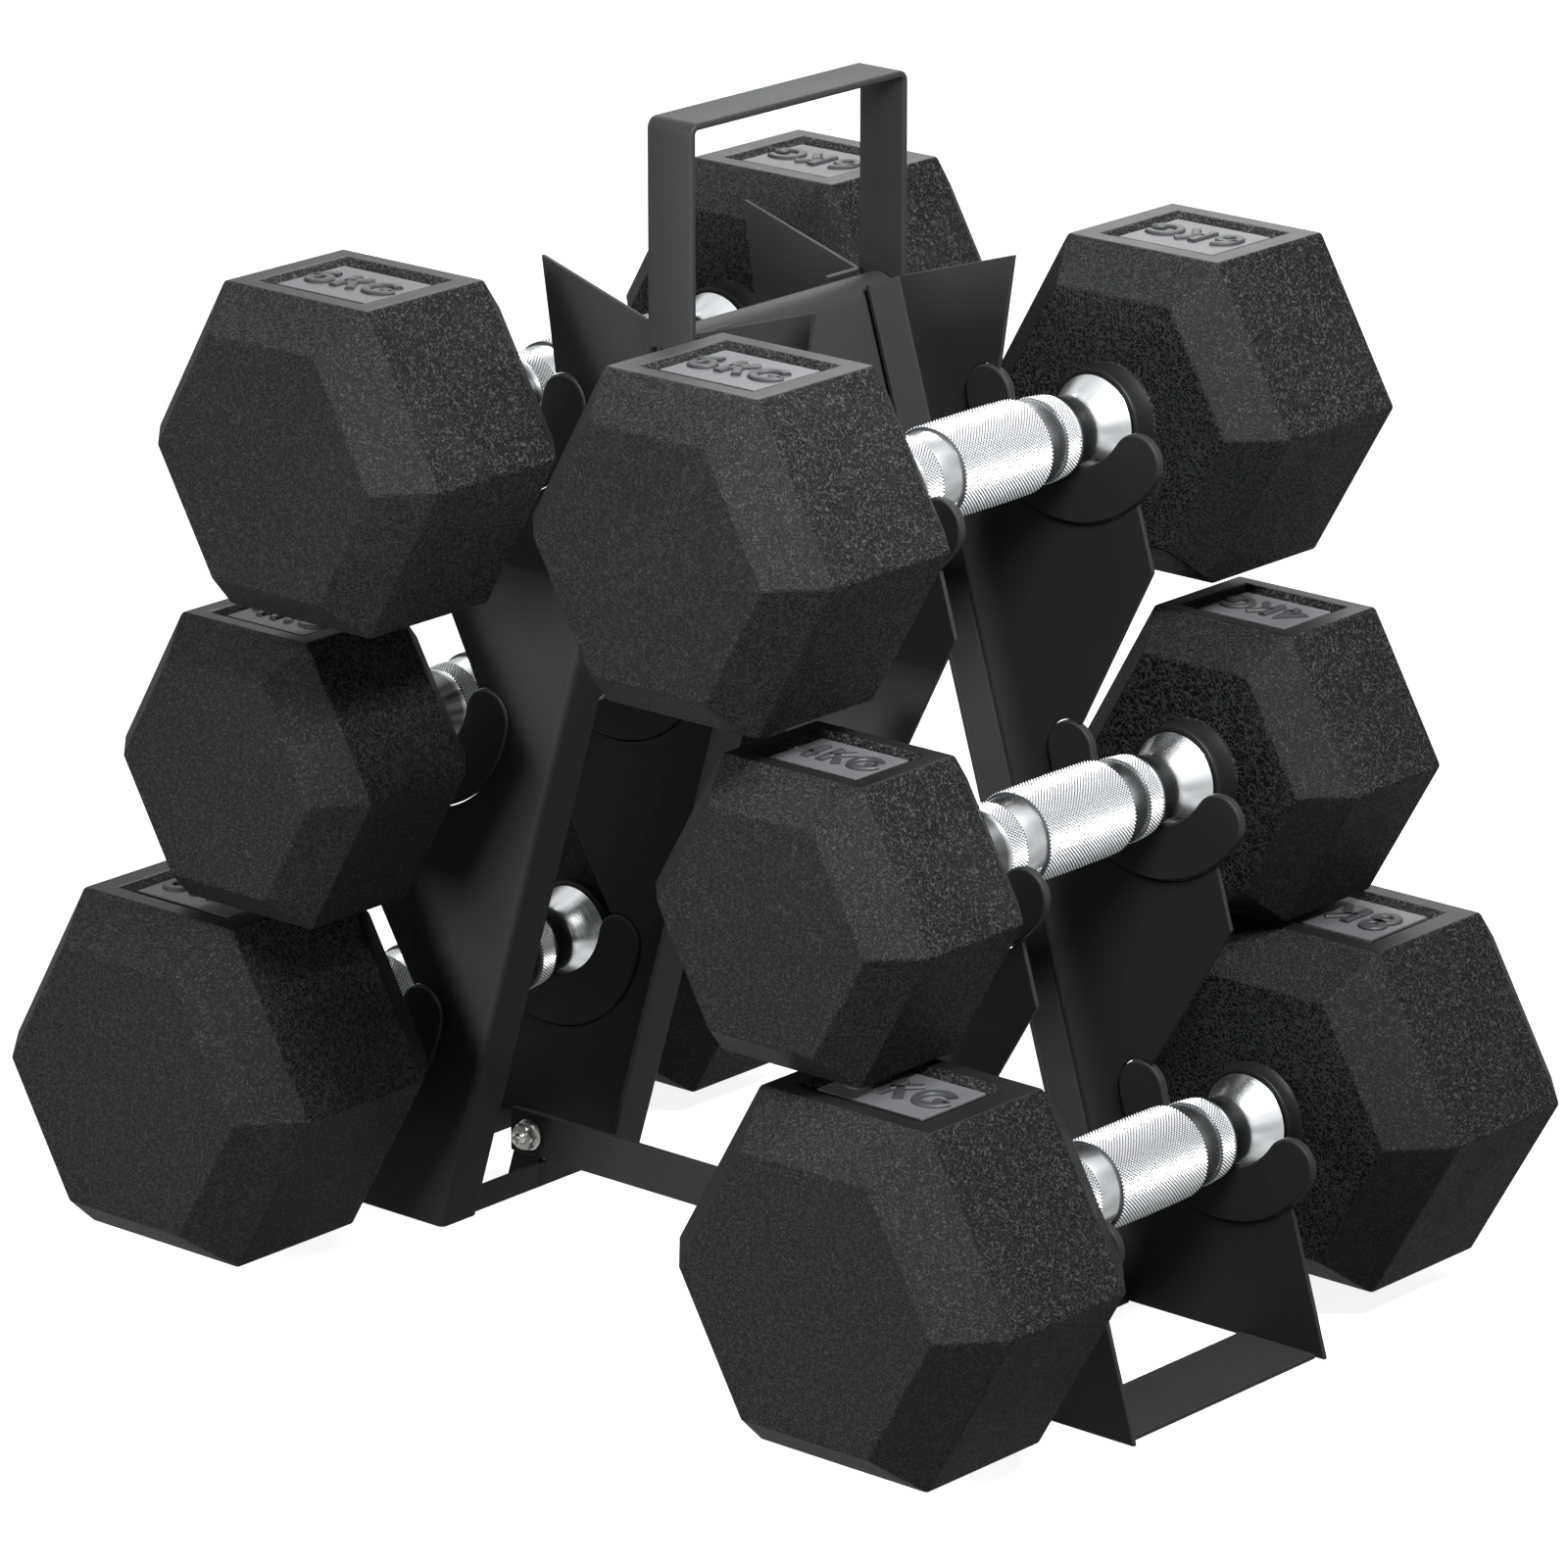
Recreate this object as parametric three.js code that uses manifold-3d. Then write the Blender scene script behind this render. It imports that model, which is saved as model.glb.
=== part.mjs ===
// A two-column dumbbell rack of bent sheet steel with a strap to carry it by, loaded with
// three pairs of hexagonal dumbbells. Millimetres, +Z up, +X to the right-hand column,
// +Y along the dumbbells; the origin is on the floor under the middle of the rack.

import * as THREE from "three";
import { mergeVertices } from "three/addons/utils/BufferGeometryUtils.js";
import Module from "manifold-3d";

const wasm = await Module();
wasm.setup();

const GAP = 0.3; // space left where two parts touch
const DEGREE = Math.PI / 180;

// Leg panels: a leaning strip of sheet with a flange along its straight inner edge.
const SHEET = 1.5;
const FRAME_HALF = 42.5; // middle of the rack to a panel's outer face
const LEAN = 0.301; // sideways run of a leg for each unit of height
const APEX_HALF = 6.5; // middle of the rack to the inner edge at APEX_Z
const APEX_Z = 280;
const STRIP_WIDTH = 71.5; // inner edge to outer edge, measured level
const SPIKE = { x: 48.8, z: 293 };
const TOOTH_DROP = 35; // a handle's axis down to the corner of the tooth below it
const FLANGE = 14;

// Handle axes of the right-hand column, from the top down.
const TIERS = [
  { name: "top", x: 68.9, z: 247.3 },
  { name: "middle", x: 99.0, z: 151.4 },
  { name: "bottom", x: 125.5, z: 58.4 },
];

// Cradles: a crescent about a centre just above the handle's axis.
const CRADLE = { x: -0.4, z: 10.5, inner: 20.6, outer: 36.3, thick: 3 };
const PRONG_OUT = -32.6 * DEGREE; // direction of the outer prong's middle
const PRONG_IN = -170.4 * DEGREE;
const TAPER_MEETS = 65 * DEGREE; // where the tooth above touches the inner prong

// Carry strap and the cap over the apex.
const STRAP = { width: 16, thick: 2, top: 338, foot: 275, bend: 1.2 };
const CAP = { half: 42.2, drop: 42, round: 7, centre: 273.4, clear: 0.9 };

// Floor bars, cross bar and its bolts.
const FLOOR_BAR_HEIGHT = 8.7;
const FLOOR_STRIP = { from: 133.2, to: 159.4 };
const CROSS = { half: 101.2, low: 10.4, high: 23.7, thick: 2 };
const TAB = { high: 22.7, outer: 98, thick: 2 };
const BOLT = { x: 93.3, z: 17, r: 2, hole: 2.3, proud: 2.4 };
const HEX_HEAD = { flats: 7, thick: 3 };
const NUT_FLANGE = { r: 4.6, thick: 0.8 };

// Dumbbells: half the width over the corners, and half-lengths along the axis.
const SIZES = {
  top: { mark: "6", corner: 52.3, inner: 58.9, innerBody: 72.0, outerBody: 117.9, outer: 131.5 },
  middle: { mark: "4", corner: 47.4, inner: 59.5, innerBody: 71.5, outerBody: 109.3, outer: 121.5 },
  bottom: { mark: "8", corner: 57.5, inner: 56.6, innerBody: 72.9, outerBody: 118.8, outer: 134.9 },
};
const END_FACE = 0.755; // end face against the body, corner to corner
const POCKET = 0.378; // half of the pocket against the flat it is sunk in
const POCKET_FLOOR = { wide: 0.85, long: 0.78 }; // pocket's floor against its mouth
const POCKET_DEPTH = 2.4;
const PLATE_THICK = 0.9;
const MARK_RAISE = 0.9;
// A character's height against half the plate's width; its stroke and pitch against its height.
const CHARACTER = { tall: 0.76, stroke: 0.19, pitch: 0.84 };
const SOCKET_END = 70; // where a handle ends inside a head
const SHANK_R = 13;
const COLLAR = { start: 51.6, lip: 14.6, foot: 17.4 };

// Half of the handle's profile: distance along the axis and radius.
const HANDLE = [
  [9, 13.5], [18.3, 13.2], [18.5, 12.2], [25.8, 11.9], [26, 12.3], [32.4, 11.7],
  [40, 9.2], [43.4, 9.2], [46.5, 10.6], [51.2, 13.5], [51.3, SHANK_R],
  [SOCKET_END, SHANK_R],
];

const SEGMENTS = 24;
const ARC_STEP = 12 * DEGREE;
const STROKE_CURVE = 7; // facets of a raised character's curves

const FINISH = {
  powder_coat: { color: 0x2b2b2c, roughness: 0.55, metalness: 0.3 },
  rubber: { color: 0x1b1b1c, roughness: 0.85, metalness: 0.0 },
  chrome: { color: 0xe4e5e8, roughness: 0.16, metalness: 1.0 },
  marking: { color: 0x6b6c6e, roughness: 0.6, metalness: 0.0 },
  zinc: { color: 0xb9bcc0, roughness: 0.3, metalness: 1.0 },
};

const root = new THREE.Group();

function place(name, geometry, finish, parent = root) {
  const mesh = new THREE.Mesh(geometry, new THREE.MeshStandardMaterial(FINISH[finish]));
  mesh.name = name;
  parent.add(mesh);
  return mesh;
}

// Booleans on closed geometries.
function solid(geometry) {
  const bare = geometry.clone();
  bare.deleteAttribute("normal");
  bare.deleteAttribute("uv");
  const welded = mergeVertices(bare);
  return new wasm.Manifold(new wasm.Mesh({
    numProp: 3,
    vertProperties: new Float32Array(welded.attributes.position.array),
    triVerts: new Uint32Array(welded.index.array),
  }));
}

function shell(body) {
  const mesh = body.getMesh();
  const geometry = new THREE.BufferGeometry();
  geometry.setAttribute("position", new THREE.BufferAttribute(mesh.vertProperties, 3));
  geometry.setIndex(new THREE.BufferAttribute(mesh.triVerts, 1));
  geometry.computeVertexNormals();
  return geometry;
}

const join = (...parts) => shell(parts.map(solid).reduce((a, b) => a.add(b)));
const cut = (part, ...tools) => shell(tools.map(solid).reduce((a, b) => a.subtract(b), solid(part)));

// An outline in the XZ plane, thickened from y0 to y1.
function plate(shape, y0, y1, curveSegments = 10) {
  const geometry = new THREE.ExtrudeGeometry(shape, {
    depth: y1 - y0, bevelEnabled: false, curveSegments,
  });
  return geometry.rotateX(Math.PI / 2).translate(0, y1, 0);
}

function outline(points) {
  return new THREE.Shape(points.map(([x, z]) => new THREE.Vector2(x, z)));
}

// A box from its lowest to its highest corner.
function block(x0, x1, y0, y1, z0, z1) {
  return new THREE.BoxGeometry(x1 - x0, y1 - y0, z1 - z0)
    .translate((x0 + x1) / 2, (y0 + y1) / 2, (z0 + z1) / 2);
}

// A body of revolution about the Y axis from [y, r] pairs.
function turned(profile, segments = SEGMENTS, turn = 0) {
  const points = profile.map(([y, r]) => new THREE.Vector2(r, y));
  return new THREE.LatheGeometry(points, segments, turn);
}

const innerX = (z) => APEX_HALF + LEAN * (APEX_Z - z);
const outerX = (z) => innerX(z) + STRIP_WIDTH;
const bite = (CRADLE.inner + CRADLE.outer) / 2;
const prongR = (CRADLE.outer - CRADLE.inner) / 2;

// Direction, seen from a cradle's centre, at which the leg's outer edge enters the bite.
function jointAngle(cx, cz, r) {
  let angle = PRONG_OUT;
  while (cx + r * Math.cos(angle) > outerX(cz + r * Math.sin(angle))) angle -= 0.002;
  return angle;
}

// Right-hand panel outline: up the outer edge from the floor, with a bite, a prong's
// round and a tooth at each tier, then the spike and back down the inner edge.
function panelShape(side) {
  const shape = new THREE.Shape();
  shape.moveTo(side * innerX(0), 0);
  shape.lineTo(side * outerX(0), 0);
  for (const tier of [...TIERS].reverse()) {
    const cx = tier.x + CRADLE.x;
    const cz = tier.z + CRADLE.z;
    const r = CRADLE.outer + GAP;
    const from = jointAngle(cx, cz, r);
    arcPoints(cx, cz, r, from, PRONG_IN).forEach(([x, z]) => shape.lineTo(side * x, z));
    const px = cx + bite * Math.cos(PRONG_IN);
    const pz = cz + bite * Math.sin(PRONG_IN);
    arcPoints(px, pz, prongR + GAP, PRONG_IN, TAPER_MEETS - 2 * Math.PI)
      .slice(1).forEach(([x, z]) => shape.lineTo(side * x, z));
    const above = TIERS[TIERS.indexOf(tier) - 1];
    if (above) {
      const z = above.z - TOOTH_DROP;
      shape.lineTo(side * outerX(z), z);
    } else {
      shape.lineTo(side * SPIKE.x, SPIKE.z);
    }
  }
  shape.lineTo(side * APEX_HALF, APEX_Z);
  shape.closePath();
  return shape;
}

// Points along an arc that turns clockwise from one angle to the other.
function arcPoints(cx, cz, r, from, to) {
  const steps = Math.max(3, Math.ceil((from - to) / ARC_STEP));
  return Array.from({ length: steps + 1 }, (_, i) => {
    const angle = from + (to - from) * i / steps;
    return [cx + r * Math.cos(angle), cz + r * Math.sin(angle)];
  });
}

function buildPanel(sideName, side, endName, end) {
  const outer = end * FRAME_HALF;
  const inner = end * (FRAME_HALF - SHEET);
  const web = plate(panelShape(side), Math.min(outer, inner), Math.max(outer, inner));
  const level = SHEET * Math.hypot(1, LEAN);
  const fold = outline([
    [side * innerX(0), 0], [side * (innerX(0) + level), 0],
    [side * (APEX_HALF + level), APEX_Z], [side * APEX_HALF, APEX_Z],
  ]);
  const free = end * (FRAME_HALF - FLANGE);
  const flange = plate(fold, Math.min(outer, free), Math.max(outer, free));
  place(`panel_${endName}_${sideName}`, join(web, flange), "powder_coat");
}

function buildCradle(tier, sideName, side, endName, end) {
  const cx = tier.x + CRADLE.x;
  const cz = tier.z + CRADLE.z;
  const at = (r, angle) => [cx + r * Math.cos(angle), cz + r * Math.sin(angle)];
  const [ox, oz] = at(bite, PRONG_OUT);
  const [ix, iz] = at(bite, PRONG_IN);
  const rim = [
    ...arcPoints(cx, cz, CRADLE.outer, PRONG_OUT, PRONG_IN),
    ...arcPoints(ix, iz, prongR, PRONG_IN, PRONG_IN - Math.PI).slice(1),
    ...arcPoints(cx, cz, CRADLE.inner, PRONG_OUT, PRONG_IN).reverse().slice(1),
    ...arcPoints(ox, oz, prongR, PRONG_OUT + Math.PI, PRONG_OUT).slice(1, -1),
  ];
  const shape = outline(rim.map(([x, z]) => [side * x, z]));
  const middle = end * (FRAME_HALF - SHEET / 2);
  const geometry = plate(shape, middle - CRADLE.thick / 2, middle + CRADLE.thick / 2);
  place(`cradle_${tier.name}_${endName}_${sideName}`, geometry, "powder_coat");
}

// The strap runs up the outer face of the near panels, across the top and down again.
function buildStrap() {
  const out = FRAME_HALF + GAP + STRAP.thick;
  const rim = (reach, top, r) => {
    const shape = new THREE.Shape();
    shape.moveTo(-reach, STRAP.foot);
    shape.lineTo(-reach, top - r);
    shape.absarc(-reach + r, top - r, r, Math.PI, Math.PI / 2, true);
    shape.lineTo(reach - r, top);
    shape.absarc(reach - r, top - r, r, Math.PI / 2, 0, true);
    shape.lineTo(reach, STRAP.foot);
    return shape;
  };
  const shape = rim(out, STRAP.top, STRAP.bend + STRAP.thick);
  const inside = rim(out - STRAP.thick, STRAP.top - STRAP.thick, STRAP.bend).getPoints(6);
  inside.reverse().forEach((point) => shape.lineTo(point.x, point.y));
  const geometry = plate(shape, -STRAP.width / 2, STRAP.width / 2, 6).rotateZ(Math.PI / 2);
  place("carry_strap", geometry, "powder_coat");
}

// A folded sheet with a rounded ridge, nested between the flanges of the two legs.
function buildCap() {
  const lean = Math.atan(LEAN);
  const foot = APEX_Z - CAP.drop;
  const fold = (clear, r) => [[clear - innerX(foot), foot],
    ...arcPoints(0, CAP.centre, r, Math.PI - lean, lean), [innerX(foot) - clear, foot]];
  const upper = fold(CAP.clear, CAP.round);
  const lower = fold(CAP.clear + SHEET * Math.hypot(1, LEAN), CAP.round - SHEET);
  const shape = outline([...upper, ...lower.reverse()]);
  place("apex_cap", plate(shape, -CAP.half, CAP.half), "powder_coat");
}

// Level strips that tie the near and far panels of one leg together at the floor.
function buildFloorBars(sideName, side) {
  const run = FRAME_HALF - SHEET - GAP;
  const level = SHEET * Math.hypot(1, LEAN);
  const x = (z) => innerX(z) + level + GAP;
  const bar = outline([
    [side * x(0), 0], [side * (x(0) + level), 0],
    [side * (x(FLOOR_BAR_HEIGHT) + level), FLOOR_BAR_HEIGHT],
    [side * x(FLOOR_BAR_HEIGHT), FLOOR_BAR_HEIGHT],
  ]);
  place(`floor_bar_${sideName}`, plate(bar, -run, run), "powder_coat");
  const [a, b] = [side * FLOOR_STRIP.from, side * FLOOR_STRIP.to].sort((p, q) => p - q);
  place(`floor_strip_${sideName}`, block(a, b, -run, run, 0, SHEET), "powder_coat");
}

const hole = (x, y0, y1) =>
  turned([[y0, 0], [y0, BOLT.hole], [y1, BOLT.hole], [y1, 0]], 24).translate(x, 0, BOLT.z);

function buildCrossBar() {
  const bar = block(-CROSS.half, CROSS.half, -CROSS.thick, 0, CROSS.low, CROSS.high);
  const drilled = cut(bar, hole(-BOLT.x, -9, 9), hole(BOLT.x, -9, 9));
  place("cross_bar", drilled, "powder_coat");
}

// An upright tab behind each end of the cross bar, with the bolt that clamps the two.
function buildJoint(sideName, side) {
  const level = SHEET * Math.hypot(1, LEAN);
  const inner = (z) => innerX(z) + 2 * (level + GAP);
  const outer = (z) => TAB.outer + LEAN * (CROSS.high - z);
  const rim = outline([
    [side * inner(0), 0], [side * outer(0), 0],
    [side * outer(TAB.high), TAB.high], [side * inner(TAB.high), TAB.high],
  ]);
  const tab = cut(plate(rim, GAP, GAP + TAB.thick), hole(side * BOLT.x, -9, 9));
  place(`tab_${sideName}`, tab, "powder_coat");

  const across = HEX_HEAD.flats / Math.sqrt(3);
  const headFrom = GAP * 2 + TAB.thick;
  const hex = turned([[headFrom, 0], [headFrom, across], [headFrom + HEX_HEAD.thick, across],
    [headFrom + HEX_HEAD.thick, 0]], 6);
  const nutFrom = -CROSS.thick - GAP - NUT_FLANGE.thick;
  const tip = nutFrom - HEX_HEAD.thick - BOLT.proud;
  const shank = turned([[tip, 0], [tip, BOLT.r - 0.6], [tip + 0.6, BOLT.r],
    [headFrom + 1, BOLT.r], [headFrom + 1, 0]], 24);
  place(`bolt_${sideName}`, join(hex, shank).translate(side * BOLT.x, 0, BOLT.z), "zinc");

  const disc = (y0, y1, r, segments) => turned([[y0, 0], [y0, r], [y1, r], [y1, 0]], segments);
  const nut = join(disc(nutFrom, nutFrom + NUT_FLANGE.thick, NUT_FLANGE.r, 24),
    disc(nutFrom - HEX_HEAD.thick, nutFrom + GAP, across, 6));
  nut.translate(side * BOLT.x, 0, BOLT.z);
  place(`nut_${sideName}`, cut(nut, hole(side * BOLT.x, -20, 9)), "zinc");
}

// Strokes of a character, as thin closed solids lying on z = 0; u runs right, v up.
function bar(u0, v0, u1, v1, width, tall) {
  const long = Math.hypot(u1 - u0, v1 - v0) + width;
  return new THREE.BoxGeometry(long, width, tall)
    .rotateZ(Math.atan2(v1 - v0, u1 - u0))
    .translate((u0 + u1) / 2, (v0 + v1) / 2, tall / 2);
}

function bow(u, v, r, from, to, width, tall) {
  const shape = new THREE.Shape();
  shape.absarc(u, v, r + width / 2, from, to, false);
  shape.absarc(u, v, r - width / 2, to, from, true);
  return new THREE.ExtrudeGeometry(shape, {
    depth: tall, bevelEnabled: false, curveSegments: STROKE_CURVE,
  });
}

function ringStroke(u, v, r, width, tall) {
  const shape = new THREE.Shape();
  shape.absarc(u, v, r + width / 2, 0, 2 * Math.PI, false);
  const eye = new THREE.Path();
  eye.absarc(u, v, r - width / 2, 0, 2 * Math.PI, true);
  shape.holes.push(eye);
  return new THREE.ExtrudeGeometry(shape, {
    depth: tall, bevelEnabled: false, curveSegments: STROKE_CURVE,
  });
}

// Each character fills a cell one unit tall about its centre; s is that unit, w the stroke.
const CHARACTERS = {
  4: (s, w, t) => [bar(0.14 * s, -0.44 * s, 0.14 * s, 0.44 * s, w, t),
    bar(-0.28 * s, -0.14 * s, 0.3 * s, -0.14 * s, w, t),
    bar(-0.28 * s, -0.14 * s, 0.12 * s, 0.44 * s, w, t)],
  6: (s, w, t) => [ringStroke(0, -0.2 * s, 0.235 * s, w, t),
    bow(0.2 * s, -0.12 * s, 0.45 * s, 100 * DEGREE, 185 * DEGREE, w, t)],
  8: (s, w, t) => [ringStroke(0, -0.215 * s, 0.235 * s, w, t),
    ringStroke(0, 0.235 * s, 0.205 * s, w, t)],
  K: (s, w, t) => [bar(-0.24 * s, -0.44 * s, -0.24 * s, 0.44 * s, w, t),
    bar(-0.22 * s, -0.06 * s, 0.24 * s, 0.42 * s, w, t),
    bar(-0.08 * s, 0.08 * s, 0.26 * s, -0.42 * s, w, t)],
  G: (s, w, t) => [bow(0, 0, 0.36 * s, 50 * DEGREE, 350 * DEGREE, w, t),
    bar(0.06 * s, -0.06 * s, 0.34 * s, -0.06 * s, w, t)],
};

// A thin plate with its raised characters, face up on z = 0, reading along +u.
function markingPlate(mark, halfU, halfV) {
  const unit = halfU * CHARACTER.tall;
  const width = unit * CHARACTER.stroke;
  const lift = PLATE_THICK - 0.2;
  const parts = [block(-halfU, halfU, -halfV, halfV, 0, PLATE_THICK)];
  [mark, "K", "G"].forEach((letter, i) => {
    CHARACTERS[letter](unit, width, MARK_RAISE + 0.2)
      .forEach((stroke) => parts.push(stroke.translate((i - 1) * unit * CHARACTER.pitch, 0, lift)));
  });
  return join(...parts);
}

// A hexagonal head for the +Y end of the handle, flat side up.
function headGeometry(size) {
  const { corner, inner, innerBody, outerBody, outer } = size;
  const small = corner * END_FACE;
  const body = turned([[inner, 0], [inner, small], [innerBody, corner], [outerBody, corner],
    [outer, small], [outer, 0]], 6, Math.PI / 6);
  const collar = turned([[COLLAR.start, 0], [COLLAR.start, COLLAR.lip],
    [COLLAR.start + 1.5, COLLAR.lip + 0.8], [inner + 1, COLLAR.foot], [inner + 1, 0]]);
  const bore = turned([[0, 0], [0, SHANK_R + GAP], [SOCKET_END + GAP, SHANK_R + GAP],
    [SOCKET_END + GAP, 0]]);
  return cut(join(body, collar), bore, pocketTool(size));
}

// The pocket widens from its floor to its mouth in the top flat.
function pocketTool(size) {
  const long = (size.outerBody - size.innerBody) * POCKET;
  const wide = size.corner * POCKET;
  const above = 1;
  const grow = (floor) => 1 + above * (1 - floor) / POCKET_DEPTH;
  const tool = new THREE.BoxGeometry(2, 2, POCKET_DEPTH + above);
  const points = tool.attributes.position;
  for (let i = 0; i < points.count; i += 1) {
    const high = points.getZ(i) > 0;
    const u = high ? grow(POCKET_FLOOR.wide) : POCKET_FLOOR.wide;
    const v = high ? grow(POCKET_FLOOR.long) : POCKET_FLOOR.long;
    points.setXY(i, points.getX(i) * wide * u, points.getY(i) * long * v);
  }
  const top = size.corner * Math.sqrt(3) / 2;
  return tool.translate(
    0, (size.outerBody + size.innerBody) / 2, top + (above - POCKET_DEPTH) / 2);
}

function markGeometry(size) {
  const clear = 0.97;
  const halfU = size.corner * POCKET * POCKET_FLOOR.wide * clear;
  const halfV = (size.outerBody - size.innerBody) * POCKET * POCKET_FLOOR.long * clear;
  const floor = size.corner * Math.sqrt(3) / 2 - POCKET_DEPTH + GAP;
  return markingPlate(size.mark, halfU, halfV).rotateZ(Math.PI)
    .translate(0, (size.outerBody + size.innerBody) / 2, floor);
}

function handleGeometry() {
  const other = [...HANDLE].reverse().map(([y, r]) => [-y, r]);
  return turned([[-SOCKET_END, 0], ...other, ...HANDLE, [SOCKET_END, 0]]);
}

function buildDumbbell(tier, sideName, side) {
  const size = SIZES[tier.name];
  const tag = `${tier.name}_${sideName}`;
  const group = new THREE.Group();
  group.position.set(side * tier.x, 0, tier.z);
  root.add(group);
  place(`handle_${tag}`, handleGeometry(), "chrome", group);
  for (const [endName, turn] of [["near", Math.PI], ["far", 0]]) {
    place(`head_${tag}_${endName}`, headGeometry(size), "rubber", group).rotation.z = turn;
    place(`mark_${tag}_${endName}`, markGeometry(size), "marking", group).rotation.z = turn;
  }
}

const SIDES = [["left", -1], ["right", 1]];
const ENDS = [["near", -1], ["far", 1]];

buildStrap();
buildCap();
buildCrossBar();
for (const [sideName, side] of SIDES) {
  for (const [endName, end] of ENDS) {
    buildPanel(sideName, side, endName, end);
    TIERS.forEach((tier) => buildCradle(tier, sideName, side, endName, end));
  }
  buildFloorBars(sideName, side);
  buildJoint(sideName, side);
  TIERS.forEach((tier) => buildDumbbell(tier, sideName, side));
}

export default root;
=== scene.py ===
"""Looks of a two-column dumbbell rack loaded with hexagonal dumbbells.

Metres, +Z up, +X to the right-hand column, +Y along the dumbbells. Every size below is in
millimetres and goes through MM on its way into a mesh.
"""

import functools
import logging
import math
from dataclasses import dataclass, field
from enum import Enum
from typing import Iterable, Sequence

import bmesh
import bpy
import numpy as np
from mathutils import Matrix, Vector


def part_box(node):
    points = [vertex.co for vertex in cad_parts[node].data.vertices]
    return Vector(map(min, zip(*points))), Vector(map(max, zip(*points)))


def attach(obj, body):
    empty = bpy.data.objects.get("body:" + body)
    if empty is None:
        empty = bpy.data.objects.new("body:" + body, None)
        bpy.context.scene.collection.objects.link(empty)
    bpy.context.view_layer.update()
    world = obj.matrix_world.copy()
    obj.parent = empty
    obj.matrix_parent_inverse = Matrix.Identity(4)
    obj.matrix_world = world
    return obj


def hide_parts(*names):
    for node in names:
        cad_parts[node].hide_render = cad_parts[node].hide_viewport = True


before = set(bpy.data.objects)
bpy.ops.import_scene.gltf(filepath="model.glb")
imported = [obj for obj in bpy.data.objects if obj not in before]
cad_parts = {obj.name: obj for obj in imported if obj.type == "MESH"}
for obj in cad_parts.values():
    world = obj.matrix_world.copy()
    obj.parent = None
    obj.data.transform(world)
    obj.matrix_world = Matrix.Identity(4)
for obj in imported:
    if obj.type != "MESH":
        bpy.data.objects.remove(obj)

LOG = logging.getLogger("dumbbell_rack")
MM = 0.001


# ---------------------------------------------------------------- shader graph


class Value:
    """A shader socket that takes part in Python arithmetic."""

    def __init__(self, graph: "Graph", socket: bpy.types.NodeSocket) -> None:
        """Holds the socket and the graph that it belongs to."""
        self.graph = graph
        self.socket = socket

    def _math(self, operation: str, first: "Value | float", second: "Value | float") -> "Value":
        """Adds one Math node and returns its result."""
        return self.graph.node("ShaderNodeMath", {"operation": operation}, {0: first, 1: second})

    def __add__(self, other: "Value | float") -> "Value":
        """self + other."""
        return self._math("ADD", self, other)

    def __radd__(self, other: float) -> "Value":
        """other + self."""
        return self._math("ADD", other, self)

    def __sub__(self, other: "Value | float") -> "Value":
        """self - other."""
        return self._math("SUBTRACT", self, other)

    def __rsub__(self, other: float) -> "Value":
        """other - self."""
        return self._math("SUBTRACT", other, self)

    def __mul__(self, other: "Value | float") -> "Value":
        """self * other."""
        return self._math("MULTIPLY", self, other)

    def __rmul__(self, other: float) -> "Value":
        """other * self."""
        return self._math("MULTIPLY", other, self)

    def __abs__(self) -> "Value":
        """The size of self without its sign."""
        return self._math("ABSOLUTE", self, 0.0)

    def rise(self, low: float, high: float) -> "Value":
        """Goes smoothly from 0 at low to 1 at high.

        Args:
            low: where the rise starts.
            high: where the rise ends.

        Returns:
            A value held between 0 and 1.
        """
        return self.graph.node(
            "ShaderNodeMapRange",
            {"interpolation_type": "SMOOTHSTEP"},
            {"Value": self, "From Min": low, "From Max": high},
        )


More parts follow.
